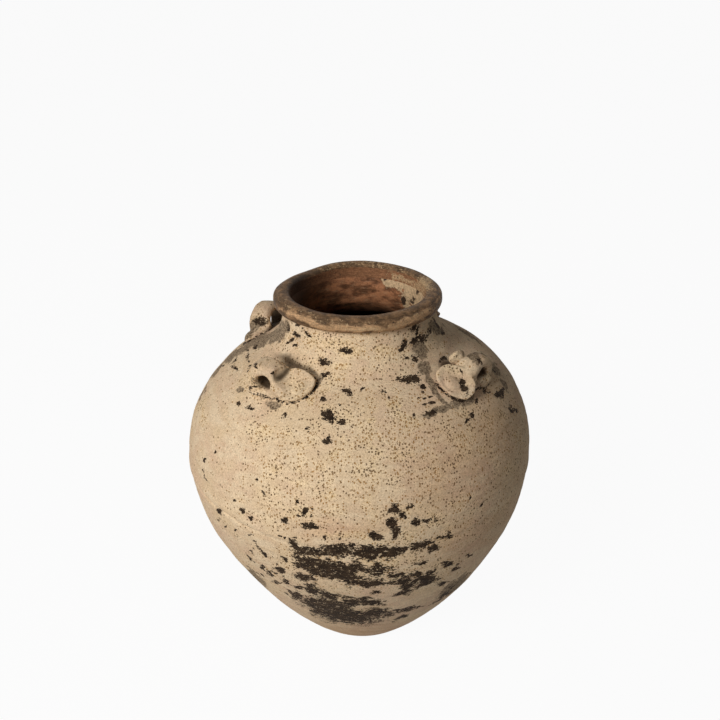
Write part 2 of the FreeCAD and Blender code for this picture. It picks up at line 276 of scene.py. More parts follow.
# how much closer the columns of a ring stand at the front than at the back
FRONT_CROWDING = 0.45


def add_mesh(name, points, faces, materials, face_material=None):
    """A smooth piece on the one body, its faces in materials by number."""
    mesh = bpy.data.meshes.new(name)
    mesh.from_pydata(points.tolist(), [], faces.tolist())
    for material in materials:
        mesh.materials.append(material)
    if face_material is not None:
        mesh.polygons.foreach_set("material_index", np.asarray(face_material, np.int32))
    mesh.polygons.foreach_set("use_smooth", np.ones(len(mesh.polygons), bool))
    mesh.update()
    mesh.set_sharp_from_angle(angle=SHARP_EDGE)
    piece = bpy.data.objects.new(name, mesh)
    bpy.context.scene.collection.objects.link(piece)
    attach(piece, "root")
    return piece


def store(piece, name, values):
    """Keep a number for each vertex, for the material to read."""
    layer = piece.data.attributes.new(name, "FLOAT", "POINT")
    layer.data.foreach_set("value", np.asarray(values, np.float32))


def ring_mesh(loop, columns):
    """Points and faces of a closed profile loop turned round the axis."""
    rows = len(loop)
    steps = np.arange(columns) / columns * 2 * math.pi
    angles = steps + FRONT_CROWDING * np.sin(steps) + math.pi / 2
    grid = np.arange(rows * columns).reshape(rows, columns)
    below, after = np.roll(grid, -1, 0), np.roll(grid, -1, 1)
    diagonal = np.roll(below, -1, 1)
    faces = np.stack([grid, after, diagonal, below], -1).reshape(-1, 4)
    points = np.stack([
        loop[:, 0, None] * np.cos(angles),
        loop[:, 0, None] * np.sin(angles),
        np.repeat(loop[:, 1, None], columns, 1),
    ], -1).reshape(-1, 3)
    return points, faces


def flat_step(start, end, step):
    """Points strictly between two profile points, no further apart than step."""
    count = int(math.ceil(np.linalg.norm(np.subtract(end, start)) / step))
    shares = np.arange(1, count) / count
    return np.array([np.add(start, np.subtract(end, start) * share) for share in shares]).reshape(-1, 2)


# ---------------------------------------------------------------- camera

IMAGE = 720
LENS_PIXELS = 850
CAMERA_SPOT = Vector((0, -726.3 * MM, 649.8 * MM))
CAMERA_DOWN = math.radians(26.09)
SENSOR = 36.0


def add_camera():
    data = bpy.data.cameras.new("camera")
    data.sensor_width = SENSOR
    data.sensor_fit = "HORIZONTAL"
    data.lens = LENS_PIXELS / IMAGE * SENSOR
    camera = bpy.data.objects.new("camera", data)
    camera.location = CAMERA_SPOT
    camera.rotation_euler = Euler((math.pi / 2 - CAMERA_DOWN, 0, 0))
    bpy.context.scene.collection.objects.link(camera)
    bpy.context.scene.camera = camera


def in_photo(points):
    """Where points fall in the photograph, in its pixels."""
    away = points - np.array(CAMERA_SPOT)
    forward = np.array([0, math.cos(CAMERA_DOWN), -math.sin(CAMERA_DOWN)])
    up = np.array([0, math.sin(CAMERA_DOWN), math.cos(CAMERA_DOWN)])
    depth = away @ forward
    return np.stack([
        IMAGE / 2 + LENS_PIXELS * away[:, 0] / depth,
        IMAGE / 2 - LENS_PIXELS * (away @ up) / depth,
    ], 1)


def faces_camera(points):
    """1 on the side that the photograph shows, falling to 0 just past its outline."""
    x, y, z = points.T
    radius = np.maximum(np.hypot(x, y), 1 * MM)
    slope = np.gradient(OUTER_LINE[:, 0], OUTER_LINE[:, 1])
    lean = np.interp(z, OUTER_LINE[:, 1], np.clip(slope, -4, 4))
    normal = np.stack([x / radius, y / radius, -lean], 1)
    normal /= np.linalg.norm(normal, axis=1)[:, None]
    view = np.array(CAMERA_SPOT) - points
    view /= np.linalg.norm(view, axis=1)[:, None]
    return smooth(-0.12, 0.1, np.sum(normal * view, 1))


# ---------------------------------------------------------------- lost slip

SLIP_THICKNESS = 0.28 * MM

# Each row is one patch in the photograph: the x and y of its middle, its half
# length and half height, all in pixels, and its tilt in degrees (rising to the right).

# dark body clay showing where the slip flaked off, on the belly above the bands
FLAKES_BELLY = (
    (304.7, 512.3, 4, 2.6, 60), (311.2, 526.3, 9, 2.8, -10), (323, 537.6, 2.2, 1.4, 0),
    (339.8, 538.5, 1.6, 1, 0), (394.4, 508.7, 5, 4.3, 0), (403, 516, 4.6, 4, 0), (410, 507, 4.2, 2, 20),
    (418, 521.3, 4.3, 3.5, 0), (427.5, 519.3, 5, 2.2, 10), (391.5, 524, 5, 5.6, 0),
    (395, 532.5, 5.5, 5.2, 0), (375.7, 535.7, 7, 4.2, -25), (443.9, 537, 8, 2, 25),
    (436, 548.5, 3.6, 2.6, 0), (447.4, 564.3, 5.2, 3.4, 30), (456, 569, 4.2, 1.9, 25),
    (457.6, 563.6, 2.2, 1.3, 40), (421.4, 562.2, 7.6, 1.7, 18), (243.7, 509.4, 3.4, 2.6, -60),
    (235, 500.2, 1.7, 1.3, 0), (252.3, 519, 3, 1.7, -50), (264, 493, 2.8, 1.4, -60),
    (258.5, 478.8, 1.8, 1.1, 60), (285, 522.7, 4.4, 2.2, -30), (298.3, 515.5, 1.8, 1.6, 0),
    (298.3, 502.2, 2.2, 1.7, -40), (312, 510, 1.4, 1.2, 0), (312, 517.5, 1.2, 1.1, 0),
    (294.6, 544, 5.6, 3.8, -40), (279.4, 538, 2, 1.2, -40), (284.5, 539.5, 1.6, 0.9, 0),
    (218.7, 510.4, 3.2, 1.8, -45), (219.7, 520.6, 2.4, 0.9, -50), (226.8, 526.7, 1.2, 1.2, 0),
    (236, 528.8, 2.6, 1.2, 20), (252.3, 534.9, 2.6, 0.9, 0), (203.4, 459.4, 2.6, 1.3, 80),
    (214.6, 452.2, 1.6, 0.9, 80), (437.2, 518.5, 0.9, 3.2, 0), (470.4, 498.5, 2.6, 1, 80),
    (481.5, 504, 3.2, 0.9, 40), (468.7, 555.5, 3.2, 0.9, 10), (326.7, 440.5, 4.4, 3.2, 10),
    (308.5, 430.5, 3.2, 1.6, -50), (499.5, 522, 1.2, 1, 0),
)
# the long dark band and the streaks right under it
FLAKES_UPPER_BAND = (
    (382, 550.5, 10, 4.6, 0), (318, 564.6, 18, 4.6, -8), (351, 567.6, 15, 5, -4), (379, 572, 11, 4.4, 0),
    (367, 583, 19, 4, 0), (405, 580.6, 13, 4, 5), (424, 577, 10, 3, 12), (322, 572.5, 16, 4, -10),
    (309, 550.5, 17, 4.4, -4), (339, 550, 19, 6, 0), (366, 553, 16, 6.4, 2), (396, 549.5, 16, 4.4, 8),
    (420, 545.6, 12.5, 4.2, 8), (391, 555, 5, 4, 30), (303.2, 558.8, 14, 3, -12), (330, 561.6, 15, 2, -6),
    (302, 566.2, 8.5, 3, -30), (327, 567.5, 16, 3, -10), (337, 571, 21, 8.2, -6),
    (372, 570.4, 20, 3.2, 4), (379, 565.2, 4.8, 4, 0), (345, 577.6, 20, 3.4, -8),
    (303.2, 576.8, 10, 2.8, -14), (366.5, 583, 14.5, 4.2, 0), (394.4, 583, 9, 1.7, 4),
    (406, 584.6, 6.5, 6.6, 0), (396.7, 575.5, 9, 2, 6), (416, 574.2, 6.2, 2.5, 10),
    (426.5, 580, 13, 3.8, 12), (431, 571, 6.2, 2.2, 20), (442.5, 582.5, 5, 1.6, 15),
    (401, 593.6, 10, 2.4, 12), (375.5, 592, 5, 1.4, 0), (422, 586, 9, 1.6, 20), (430, 549, 5, 3, -40),
)
# the broad worn patch low on the wall
FLAKES_LOWER_BAND = (
    (299, 588, 6, 1.2, -10), (312.3, 589.5, 8.5, 4.4, -35), (329.5, 595.4, 10.5, 4, -20),
    (357.6, 597.5, 18, 1.3, -3), (371.4, 602.8, 13, 3, 0), (351, 603, 10, 3.6, 0),
    (298.4, 598, 8.5, 3.8, -42), (315, 606, 13, 6, -32), (333, 606.6, 22, 7, -14),
    (350, 616, 30, 6.8, -4), (374.5, 613.8, 16, 5.4, 3), (407, 609.7, 15, 1.9, 15),
    (401, 618.2, 7.5, 1.6, 20), (330, 613.5, 20, 6, -20), (290.5, 593.3, 5, 1.5, -35),
    (445, 594, 6, 1, 30), (438, 600.5, 8, 0.9, 28), (452, 587, 7, 0.9, 34),
)
# short slanting streaks on the left flank, low down
FLAKES_LEFT = (
    (255, 543.5, 4.4, 1.5, -50), (252.6, 551.6, 2.6, 1.2, -50), (261.8, 551.6, 5.2, 1.3, -38),
    (250.5, 559, 4.6, 1.2, -38), (263.2, 568.8, 3.6, 1, -38), (270.9, 575, 4.6, 1.4, -30),
    (263, 575.8, 3, 0.8, -38), (273.3, 572, 2.2, 1, -30), (276.8, 582, 4.6, 0.9, -15),
    (282.8, 559.3, 4.8, 1.9, -42), (279.3, 569.5, 5.6, 2.2, -25), (282.5, 575, 2.2, 1, -20),
    (285.6, 582, 5.2, 1.6, -35), (276.8, 562.5, 1, 0.9, 0), (205, 476, 7, 0.7, -62),
)
# spots and chips on the shoulder and neck
FLAKES_SHOULDER = (
    (328, 416, 6.2, 6.4, 0), (341, 422.8, 4.4, 2.7, 0), (323.4, 399.4, 3, 2.4, -30),
    (338.8, 403.3, 1.5, 1.3, 0), (349, 390.6, 5.6, 1.8, -8), (362.3, 389, 3.2, 1.2, 5),
    (382.4, 393, 3.4, 1.3, -10), (389, 398.2, 2.6, 1, -50), (346.7, 350.4, 6, 2.2, -10),
    (323.7, 361.6, 5, 3.6, -20), (325, 374.8, 4.6, 2, 0), (296.4, 336.2, 3.4, 2.6, 50),
    (297.8, 325, 2.4, 1.2, -50), (303, 329, 1.4, 1.1, 0), (308.3, 332.8, 3, 1.5, -50),
    (295, 347, 2.4, 1.2, 20), (289.5, 342.4, 3.8, 1.7, 40), (288.7, 327.5, 3, 1.9, 80),
    (414, 327.5, 4.6, 3.4, 10), (419, 330.5, 5.4, 1.5, 80), (404.3, 346.4, 5.2, 3.4, 40),
    (418, 340, 8.4, 4, 16), (415, 359.3, 4.6, 3.6, 0), (404.3, 360, 3.8, 1.2, -8),
    (411, 378.6, 10, 4.2, 6), (399, 379.6, 7, 1.8, 14), (422.3, 385.7, 4.6, 1.5, -20),
    (422.6, 391.3, 1.8, 1.3, 0), (418.6, 398.9, 1.2, 1, 0), (424.8, 399, 2.8, 0.9, 0),
    (426, 405.4, 5.2, 1.3, 12), (430, 412.8, 6.6, 2.4, 10), (414.6, 416, 3.4, 1.7, -45),
    (286.4, 401.4, 7.4, 2.4, -18), (284.6, 415.4, 3.2, 2.2, 50), (263, 416.6, 1.8, 1.4, 50),
    (249.7, 407.9, 4.2, 1.7, -8), (239.8, 403.7, 2.8, 1.8, -50), (258, 365.6, 2.6, 1.8, 0),
    (247.2, 351, 1.4, 1.1, 0), (247.4, 355.7, 2.8, 1.3, 85), (248.9, 360.6, 1.5, 1.1, 60),
    (251.2, 365.8, 1.9, 1.6, 0), (236, 360.6, 3.2, 1, 60), (235.2, 369, 3.2, 1.6, -60),
    (222.3, 367.3, 1.6, 1, 30), (256, 346, 3.2, 1.7, 30), (472, 416.3, 3.6, 2.2, -50),
    (484.6, 391.7, 3, 1.7, 80), (490, 393, 1.4, 1.3, 0), (477.5, 399.3, 2.8, 1.4, 40),
    (443.6, 357.8, 4.4, 2.4, 20), (432, 404, 3.6, 1.1, 12), (431, 396.4, 2.4, 1.4, 20),
    (500.7, 393, 5, 3.6, 60), (466.3, 422.5, 4, 2.4, 60), (434, 321, 5, 1.3, -50),
    (439, 325, 5, 1.5, -55), (429, 330, 3.6, 2.2, 80), (443, 334, 2.6, 1.8, 40), (512, 409, 4.4, 2, -50),
    (486, 361, 5, 1.5, -48), (494, 371, 4, 1.2, -50),
)
# grey-brown ground where the slip is thin or worn through, softer at its edges
WORN = (
    (277, 335, 13, 7, 30), (262, 341, 12, 4.6, 28), (246, 347, 11, 3.6, 35), (231, 357, 11, 3.2, 42),
    (216, 371, 11, 2.4, 50), (204, 391, 12, 1.8, 64), (285, 326, 6, 7, 50), (239, 390, 5.8, 3.2, 85),
    (274.4, 405.4, 7.4, 4.6, -6), (319.5, 383, 9, 3, 80), (421, 350, 8, 8, 0), (424.5, 368, 6, 8, 0),
    (446, 408, 24, 4.2, 20), (466, 400, 9, 5.4, 30), (472, 388, 8, 2.8, 75), (432, 384, 11, 3, -70),
    (440, 396, 9, 2.4, -42), (489, 364, 16, 4, -50), (470, 336, 16, 2.2, -33), (505, 386, 8, 2.6, -60),
    (437, 328, 9, 5, -40), (256, 578, 14, 4, -42), (455, 585, 20, 5, 38), (267, 396, 10, 2.2, -10),
)
# crowds of pits, and the broad stretches where they lie more thinly
PITTED_BROAD = (
    (350, 342, 76, 16, 0), (330, 385, 80, 34, 0), (370, 445, 105, 48, 0), (320, 500, 70, 32, 0),
    (440, 520, 60, 26, 20), (480, 430, 50, 40, -30), (360, 565, 80, 20, 0),
)
PITTED = (
    (335, 345, 48, 14, -4), (385, 350, 28, 14, 6), (340, 366, 26, 9, 0), (331, 495, 11, 10, 0),
    (325, 512, 8, 6, 0), (333, 456, 12, 9, 0), (299, 454, 8, 7, 0), (299, 470, 8, 6, 0),
    (277, 470, 12, 9, 0), (481, 450, 11, 9, -30), (453, 465, 6, 5, 0), (437, 473, 6, 5, 0),
    (370, 420, 14, 8, 0), (350, 352, 30, 14, 0), (395, 405, 18, 10, 0), (310, 400, 10, 12, 0),
    (365, 560, 12, 6, 0), (501, 394, 7, 8, -50), (203, 412, 4, 16, 10), (405, 512, 14, 8, 0),
    (260, 430, 16, 10, 0), (450, 536, 10, 6, 0), (440, 540, 8, 8, 0), (296, 385, 14, 12, 0),
    (345, 535, 26, 8, 0),
)
# painted warm shade: where the slip is made pinker and a little darker, on the shaded right side and low
# down
PAINTED_WARM_SHADE = (
    (455, 470, 45, 45, 0), (490, 430, 22, 50, 0), (466, 535, 36, 17, 25), (330, 528, 40, 8.5, 0),
    (350, 633, 62, 9, 0),
)
# soft painted shadow in the hollow above the front left lug, and painted shade beside the front right one
PAINTED_SHADOWS = (
    (290, 361.5, 13, 4.4, -24), (301.5, 366.5, 11, 4.6, -32), (312, 373, 7, 2, -40),
    (474, 381, 7, 1.8, 70), (478, 376.5, 6, 2.4, 0),
)
# on the lugs: bare spots on the front right pad and on the back left lug
FLAKES_LUGS = (
    (463.4, 386.2, 7.6, 3.6, -66), (461.4, 372.6, 3.2, 1.1, -55), (259.4, 320.8, 5.8, 4.6, 30),
    (273, 373, 2, 1.6, 0), (247.5, 371, 5.5, 0.9, 45), (258, 366, 1.8, 1.6, 0), (251, 388.5, 8, 1.1, 22),
    (478, 361.5, 3.6, 1.4, -50), (471, 352, 2.4, 1, -40),
)
PITTED_LUGS = (
    (300, 385, 10, 8, 20), (456, 373, 7, 3.6, -40),
)
WORN_LUGS = (
    (471, 356, 11, 6, -45), (254, 328, 10, 4, 55), (246.5, 336, 8, 2.4, 42), (262, 322, 5, 4, 20),
)


def patch_field(points, patches, seen, top=0.86):
    """The strongest patch at each point: top in a patch's middle, half at its edge, 0 outside."""
    level = np.zeros(len(points))
    shown = np.flatnonzero(seen > 0)
    spots = in_photo(points[shown])
    for axis in (0, 1):
        spots[:, axis] += 1.5 * noise(points[shown], 8 * MM, 45 + axis)
        spots[:, axis] += 0.8 * noise(points[shown], 3.6 * MM, 47 + axis)
    near = np.zeros(len(shown))
    for x, y, wide, high, tilt in patches:
        turn = math.radians(tilt)
        across, down = spots[:, 0] - x, spots[:, 1] - y
        along = (across * math.cos(turn) - down * math.sin(turn)) / wide
        square = (across * math.sin(turn) + down * math.cos(turn)) / high
        near = np.maximum(near, 1 - smooth(0.1, 1.9, np.hypot(along, square)))
    level[shown] = np.minimum(near, top) * seen[shown]
    return level


def unseen_flakes(points, seen):
    """Patches of the same kinds and sizes on the sides that the photograph doesn't show."""
    height = points[:, 2]
    low = smooth(45 * MM, 70 * MM, height) * (1 - smooth(150 * MM, 185 * MM, height))
    streaks = noise(points * (1, 1, 4.5), 34 * MM, 21, 3) + 0.9 * noise(points, 110 * MM, 22)
    spots = noise(points, 13 * MM, 23, 2) + 0.6 * noise(points, 60 * MM, 24)
    top = smooth(255 * MM, 300 * MM, height)
    level = np.maximum(low * smooth(0.1, 1.0, streaks), smooth(0.75 - 0.2 * top, 1.5, spots))
    return level * (1 - seen)


def unseen_wear(points, seen):
    streaks = noise(points * (1, 1, 2.4), 60 * MM, 31, 3)
    return smooth(0.35, 1.1, streaks) * (1 - seen)


def wear_levels(points):
    """How flaked, worn and pitted the slip is at points of the wall's outer face, and where shade and a
    pinker warm shade are painted on it.
    """
    seen = faces_camera(points)
    dark = FLAKES_BELLY + FLAKES_UPPER_BAND + FLAKES_LOWER_BAND + FLAKES_LEFT + FLAKES_SHOULDER
    flaked = np.maximum(patch_field(points, dark, seen), unseen_flakes(points, seen))
    unseen_pits = 0.6 * (1 - seen) * smooth(0.1, 0.28, points[:, 2])
    broad = patch_field(points, PITTED_BROAD, seen, 0.8) + unseen_pits
    groove, painted_shade = lug_grooves(points)
    return {
        # the dark joint round the lugs: partly lost slip, partly painted shade
        "flaked": np.maximum(flaked, 0.72 * groove),
        "worn": np.maximum(patch_field(points, WORN, seen), unseen_wear(points, seen)),
        "pitted": np.maximum(patch_field(points, PITTED, seen, 1.0), broad),
        # painted shade above and beside the lugs and in their holes, and the painted shadow patches
        "painted_shade": np.maximum(painted_shade, patch_field(points, PAINTED_SHADOWS, seen, 0.9)),
        # painted warm shade on the shaded right and low down, and over the far side of the jar
        "warm_shade": np.maximum(patch_field(points, PAINTED_WARM_SHADE, seen, 1.0), 0.45 * (1 - seen)),
    }


def flaked_relief(points, flaked):
    """Sink points of the outer face by the slip's thickness where it has flaked off."""
    rough = noise(points, 5 * MM, 51, 2)
    depth = SLIP_THICKNESS * smooth(0.42, 0.62, flaked + 0.2 * rough)
    radius = np.hypot(points[:, 0], points[:, 1])
    points[:, :2] *= (1 - depth / np.maximum(radius, 1 * MM))[:, None]


# ---------------------------------------------------------------- materials

BUFF, PINK_BUFF, CREAM = (0.68, 0.50, 0.31), (0.66, 0.462, 0.308), (0.74, 0.57, 0.38)
THIN_SLIP, PITTED_SLIP = (0.47, 0.315, 0.175), (0.88, 0.66, 0.40)
# tint multiplied into the slip where warm shade is painted
WARM_SHADE_TINT = (0.91, 0.84, 0.81)
DARK_PIT, RUSTY_PIT, SMALL_PIT = (0.11, 0.055, 0.020), (0.40, 0.205, 0.062), (0.35, 0.195, 0.085)
OCHRE_STAIN = (0.57, 0.39, 0.18)
WORN_DARK, WORN_PALE = (0.075, 0.05, 0.03), (0.36, 0.265, 0.17)
BODY_DARK, BODY_PALE, SLIP_CRUMB = (0.019, 0.011, 0.006), (0.062, 0.038, 0.021), (0.34, 0.25, 0.16)
# painted shade colour for the slip, round and above the lugs and in their holes
PAINTED_SLIP_SHADE = (0.045, 0.026, 0.012)
INSIDE_DARK, INSIDE_RED, INSIDE_STREAK = (0.12, 0.05, 0.022), (0.47, 0.205, 0.095), (0.46, 0.27, 0.15)
RUN_PALE, RUN_BROWN, RUN_SPOT = (0.68, 0.47, 0.27), (0.48, 0.33, 0.19), (0.06, 0.035, 0.02)
# painted shade colour for the inside, deep down and round the left
PAINTED_INSIDE_SHADE = (0.012, 0.006, 0.003)
RIM_DARK, RIM_BROWN, RIM_TAN = (0.092, 0.053, 0.027), (0.250, 0.143, 0.071), (0.52, 0.315, 0.165)
RIM_RED, RIM_WORN, RIM_DUST = (0.27, 0.125, 0.06), (0.55, 0.375, 0.205), (0.52, 0.40, 0.27)
# the second of these is painted shade for the rim's inner edge at the left
RIM_CHIP, PAINTED_RIM_SHADE = (0.04, 0.025, 0.015), (0.018, 0.010, 0.006)
FOOT_PALE, FOOT_BROWN = (0.36, 0.24, 0.14), (0.23, 0.15, 0.09)


def add_node(tree, kind, inputs, output=0, **settings):
    """Add a node whose inputs are linked to outputs or set to values, and return one output."""
    node = tree.nodes.new(kind)
    for name, value in settings.items():
        setattr(node, name, value)
    for name, value in inputs.items():
        socket = node.inputs[name]
        if isinstance(value, bpy.types.NodeSocket):
            tree.links.new(value, socket)
        elif isinstance(value, tuple) and socket.type == "RGBA":
            socket.default_value = (*value, 1)
        else:
            socket.default_value = value
    return node.outputs[output]


class Level:
    """What a node puts out; +, - and * add the nodes that work the result out."""

    def __init__(self, shades, socket):
        self.shades, self.socket = shades, socket

    def __add__(self, other):
        return self.shades.math("ADD", self, other)

    def __sub__(self, other):
        return self.shades.math("SUBTRACT", self, other)

    def __mul__(self, other):
        return self.shades.math("MULTIPLY", self, other)


class Shades:
    """Writes the nodes of one material; every place is in the object's own metres."""

    def __init__(self, name, roughness, gloss):
        self.material = bpy.data.materials.new(name)
        self.material.use_nodes = True
        self.tree = self.material.node_tree
        self.shader = self.tree.nodes["Principled BSDF"]
        self.shader.inputs["Roughness"].default_value = roughness
        self.shader.inputs["Specular IOR Level"].default_value = gloss
        self.place = self.node("ShaderNodeTexCoord", {}, "Object")

    def node(self, kind, inputs, output=0, **settings):
        sockets = {name: getattr(value, "socket", value) for name, value in inputs.items()}
        return Level(self, add_node(self.tree, kind, sockets, output, **settings))

    def attribute(self, name):
        return self.node("ShaderNodeAttribute", {}, "Fac", attribute_name=name)

    def stretched(self, scale):
        return self.node("ShaderNodeMapping", {"Vector": self.place, "Scale": scale})

    def noise(self, size, detail=2.0, rough=0.5, place=None):
        inputs = {"Vector": place or self.place, "Scale": 1 / size, "Detail": detail, "Roughness": rough}
        return self.node("ShaderNodeTexNoise", inputs, "Fac")

    def math(self, operation, first, second):
        return self.node("ShaderNodeMath", {0: first, 1: second}, operation=operation)

    def step(self, low, high, value):
        """0 below low, 1 above high."""
        inputs = {"Value": value, "From Min": low, "From Max": high}
        return self.node("ShaderNodeMapRange", inputs, interpolation_type="SMOOTHSTEP")

    def mix(self, share, first, second, blend="MIX"):
        inputs = {"Factor": share, 6: first, 7: second}
        return self.node("ShaderNodeMix", inputs, 2, data_type="RGBA", blend_type=blend)

    def shade(self, colour, factor):
        return self.node("ShaderNodeVectorMath", {0: colour, "Scale": factor}, operation="SCALE")

    def pits(self, size, reach, chance, soft=0.06):
        """Round spots, one to a cell of a size, in the share of cells that chance lets through."""
        inputs = {"Vector": self.place, "Scale": 1 / size}
        cell = self.node("ShaderNodeTexVoronoi", inputs, "Color")
        picked = self.node("ShaderNodeSeparateColor", {0: cell})
        big = self.math("LESS_THAN", picked, chance) * reach
        return self.step(0.0, soft, big - self.node("ShaderNodeTexVoronoi", inputs, "Distance"))

    def finish(self, colour, height):
        """Set the colour, and a height in millimetres for the bump."""
        raised = self.node("ShaderNodeBump", {"Height": height, "Distance": 1 * MM, "Strength": 1.0})
        self.tree.links.new(colour.socket, self.shader.inputs["Base Color"])
        self.tree.links.new(raised.socket, self.shader.inputs["Normal"])
        return self.material


def flaked_off(s, flaked):
    """Crisp, ragged patches: 1 where the slip is gone."""
    ringed = s.stretched((1, 1, 1.8))
    coarse = (s.noise(6.0 * MM, 5, 0.75, ringed) - 0.5) * 2.6
    fine = (s.noise(2.3 * MM, 4, 0.7, ringed) - 0.5) * 2.6
    edge = flaked + s.step(0.04, 0.30, flaked) * (coarse + fine)
    return s.step(0.475, 0.51, edge)


def slip_colour(s):
    """Warm buff slip, thicker and thinner in soft clouds."""
    clouds = s.step(0.36, 0.64, s.noise(48 * MM, 3, 0.55))
    streaks = s.step(0.40, 0.66, s.noise(24 * MM, 4, 0.6, s.stretched((1, 1, 2.8))))
    thin = s.step(0.48, 0.72, s.noise(6 * MM, 5, 0.68)) * 0.36
    colour = s.mix(streaks, s.mix(clouds, BUFF, PINK_BUFF), CREAM)
    return s.mix(thin, colour, THIN_SLIP)


def pitted_colour(s, colour, pitted):
    """Ochre and dark pits that the glaze burst open, crowded in some places, and their depth."""
    colour = s.mix(pitted * 0.75, colour, PITTED_SLIP)
    rusty = s.step(0.40, 0.60, s.noise(15 * MM, 2))
    large = s.pits(2.3 * MM, 0.38, pitted * 1.3, 0.08)
    small = s.pits(1.5 * MM, 0.36, pitted * 0.9 + 0.08, 0.12)
    stain = s.step(0.5, 1.0, pitted) * s.step(0.44, 0.60, s.noise(3.6 * MM, 3))
    colour = s.mix(stain * 0.36, colour, OCHRE_STAIN)
    colour = s.mix(small * 0.55, colour, SMALL_PIT)
    colour = s.mix(large * 0.85, colour, s.mix(rusty, DARK_PIT, RUSTY_PIT))
    return colour, large + small * 0.5


def worn_away(s, worn):
    """Granular ground: the slip left only in crumbs."""
    grains = s.noise(2.6 * MM, 4, 0.7) * 1.3 + s.noise(9 * MM, 3, 0.6) * 1.1
    return s.step(0.46, 0.60, worn + (grains - 1.22))


def slip_material():
    s = Shades("slip", 0.85, 0.12)
    flaked = flaked_off(s, s.attribute("flaked"))
    worn = worn_away(s, s.attribute("worn"))
    crowded = s.attribute("pitted")
    crowd = s.step(0.40, 0.66, s.noise(16 * MM, 3, 0.55))
    pitted = s.math("MAXIMUM", crowded * (crowd * 0.75 + 0.30), s.step(0.78, 1.0, crowded))
    colour, pits = pitted_colour(s, slip_colour(s), pitted)
    # painted warm shade: pinker and a little darker on the shaded right, low down and on the far side
    colour = s.mix(s.attribute("warm_shade"), colour, WARM_SHADE_TINT, "MULTIPLY")
    worn_clay = s.mix(s.step(0.40, 0.60, s.noise(1.8 * MM, 4, 0.7)), WORN_DARK, WORN_PALE)
    colour = s.mix(worn * 0.9, colour, worn_clay)
    streaky = s.step(0.35, 0.68, s.noise(7 * MM, 4, 0.65, s.stretched((1, 1, 3))))
    crumbs = s.pits(1.9 * MM, 0.27, 0.10)
    dark_clay = s.mix(crumbs * 0.5, s.mix(streaky, BODY_DARK, BODY_PALE), SLIP_CRUMB)
    colour = s.mix(flaked, colour, dark_clay)
    # painted shade and shadow round and above the lugs, in their holes and crease
    colour = s.mix(s.attribute("painted_shade"), colour, PAINTED_SLIP_SHADE)
    grain = s.noise(1.3 * MM, 3, 0.7)
    colour = s.shade(colour, grain * 1.3 + 0.35)
    relief = flaked * -0.35 + pits * -0.35 + s.noise(5 * MM, 4, 0.6) * 0.45
    return s.finish(colour, relief + grain * 0.30 + worn * -0.20)


def inside_material():
    s = Shades("inside", 0.5, 0.45)
    mottle = s.noise(14 * MM, 5, 0.65, s.stretched((1, 1, 1.8)))
    colour = s.mix(s.step(0.36, 0.64, mottle), INSIDE_DARK, INSIDE_RED)
    streaks = s.step(0.52, 0.70, s.noise(9 * MM, 4, 0.6, s.stretched((1, 1, 4))))
    colour = s.mix(streaks * 0.5, colour, INSIDE_STREAK)
    fine = s.noise(4 * MM, 5, 0.7) - 0.5
    cream = s.step(0.46, 0.56, s.attribute("cream") + fine * 1.7)
    run = s.mix(s.step(0.45, 0.60, s.noise(3 * MM, 4, 0.7)), RUN_PALE, RUN_BROWN)
    colour = s.mix(cream, colour, run)
    flaked = s.step(0.50, 0.56, s.attribute("flaked") + fine * 1.4)
    colour = s.mix(flaked, colour, RUN_SPOT)
    grain = s.noise(1.3 * MM, 4, 0.7)
    colour = s.shade(colour, grain * 1.5 + 0.25)
    # painted shade: darker deep down and round the left
    colour = s.mix(s.attribute("painted_shade"), colour, PAINTED_INSIDE_SHADE)
    return s.finish(colour, cream * 0.35 + grain * 0.25 + mottle * 0.8)


def rim_material():
    s = Shades("rim", 0.6, 0.13)
    mottle = s.noise(9 * MM, 5, 0.65, s.stretched((1, 1, 2.5)))
    colour = s.mix(s.step(0.38, 0.66, mottle), RIM_DARK, RIM_BROWN)
    warm = s.attribute("warm") + (mottle - 0.5) * 1.2
    colour = s.mix(s.step(0.25, 0.8, warm) * 0.85, colour, RIM_TAN)
    inner = s.attribute("inner") + (s.noise(5 * MM, 4) - 0.5) * 0.8
    colour = s.mix(s.step(0.35, 0.65, inner), colour, RIM_RED)
    wear = s.attribute("pale") + (s.noise(2.4 * MM, 6, 0.8) - 0.5) * 3.6
    colour = s.mix(s.step(0.56, 0.70, wear) * 0.70, colour, RIM_WORN)
    dust = s.pits(2.3 * MM, 0.2, 0.14, 0.1)
    colour = s.mix(dust * 0.55, colour, RIM_DUST)
    chips = s.pits(4 * MM, 0.22, 0.2)
    colour = s.mix(chips * 0.75, colour, RIM_CHIP)
    # painted shade on the rim's inner edge at the left
    colour = s.mix(s.attribute("painted_shade"), colour, PAINTED_RIM_SHADE)
    streaks = s.noise(3.5 * MM, 5, 0.75, s.stretched((1, 1, 3.5)))
    grain = s.noise(1.3 * MM, 4, 0.7)
    colour = s.shade(colour, (grain * 1.6 + 0.2) * (streaks * 2.6 - 0.3))
    return s.finish(colour, chips * -0.3 + (grain + streaks) * 0.35 + mottle * 0.9)


def foot_material():
    s = Shades("foot", 0.9, 0.2)
    grain = s.noise(1.2 * MM, 3)
    colour = s.mix(s.noise(10 * MM, 4), FOOT_PALE, FOOT_BROWN)
    return s.finish(s.shade(colour, grain * 0.5 + 0.75), grain * 0.25)


# ---------------------------------------------------------------- the pieces

SKIN_STEP = 1.7 * MM
INNER_STEP = 6 * MM
JOINT_STEP = 3 * MM
COLUMNS = 560
AXIS_GAP = 0.4 * MM
# rows of the base's mesh on its upper face
FLOOR_ROWS = 12

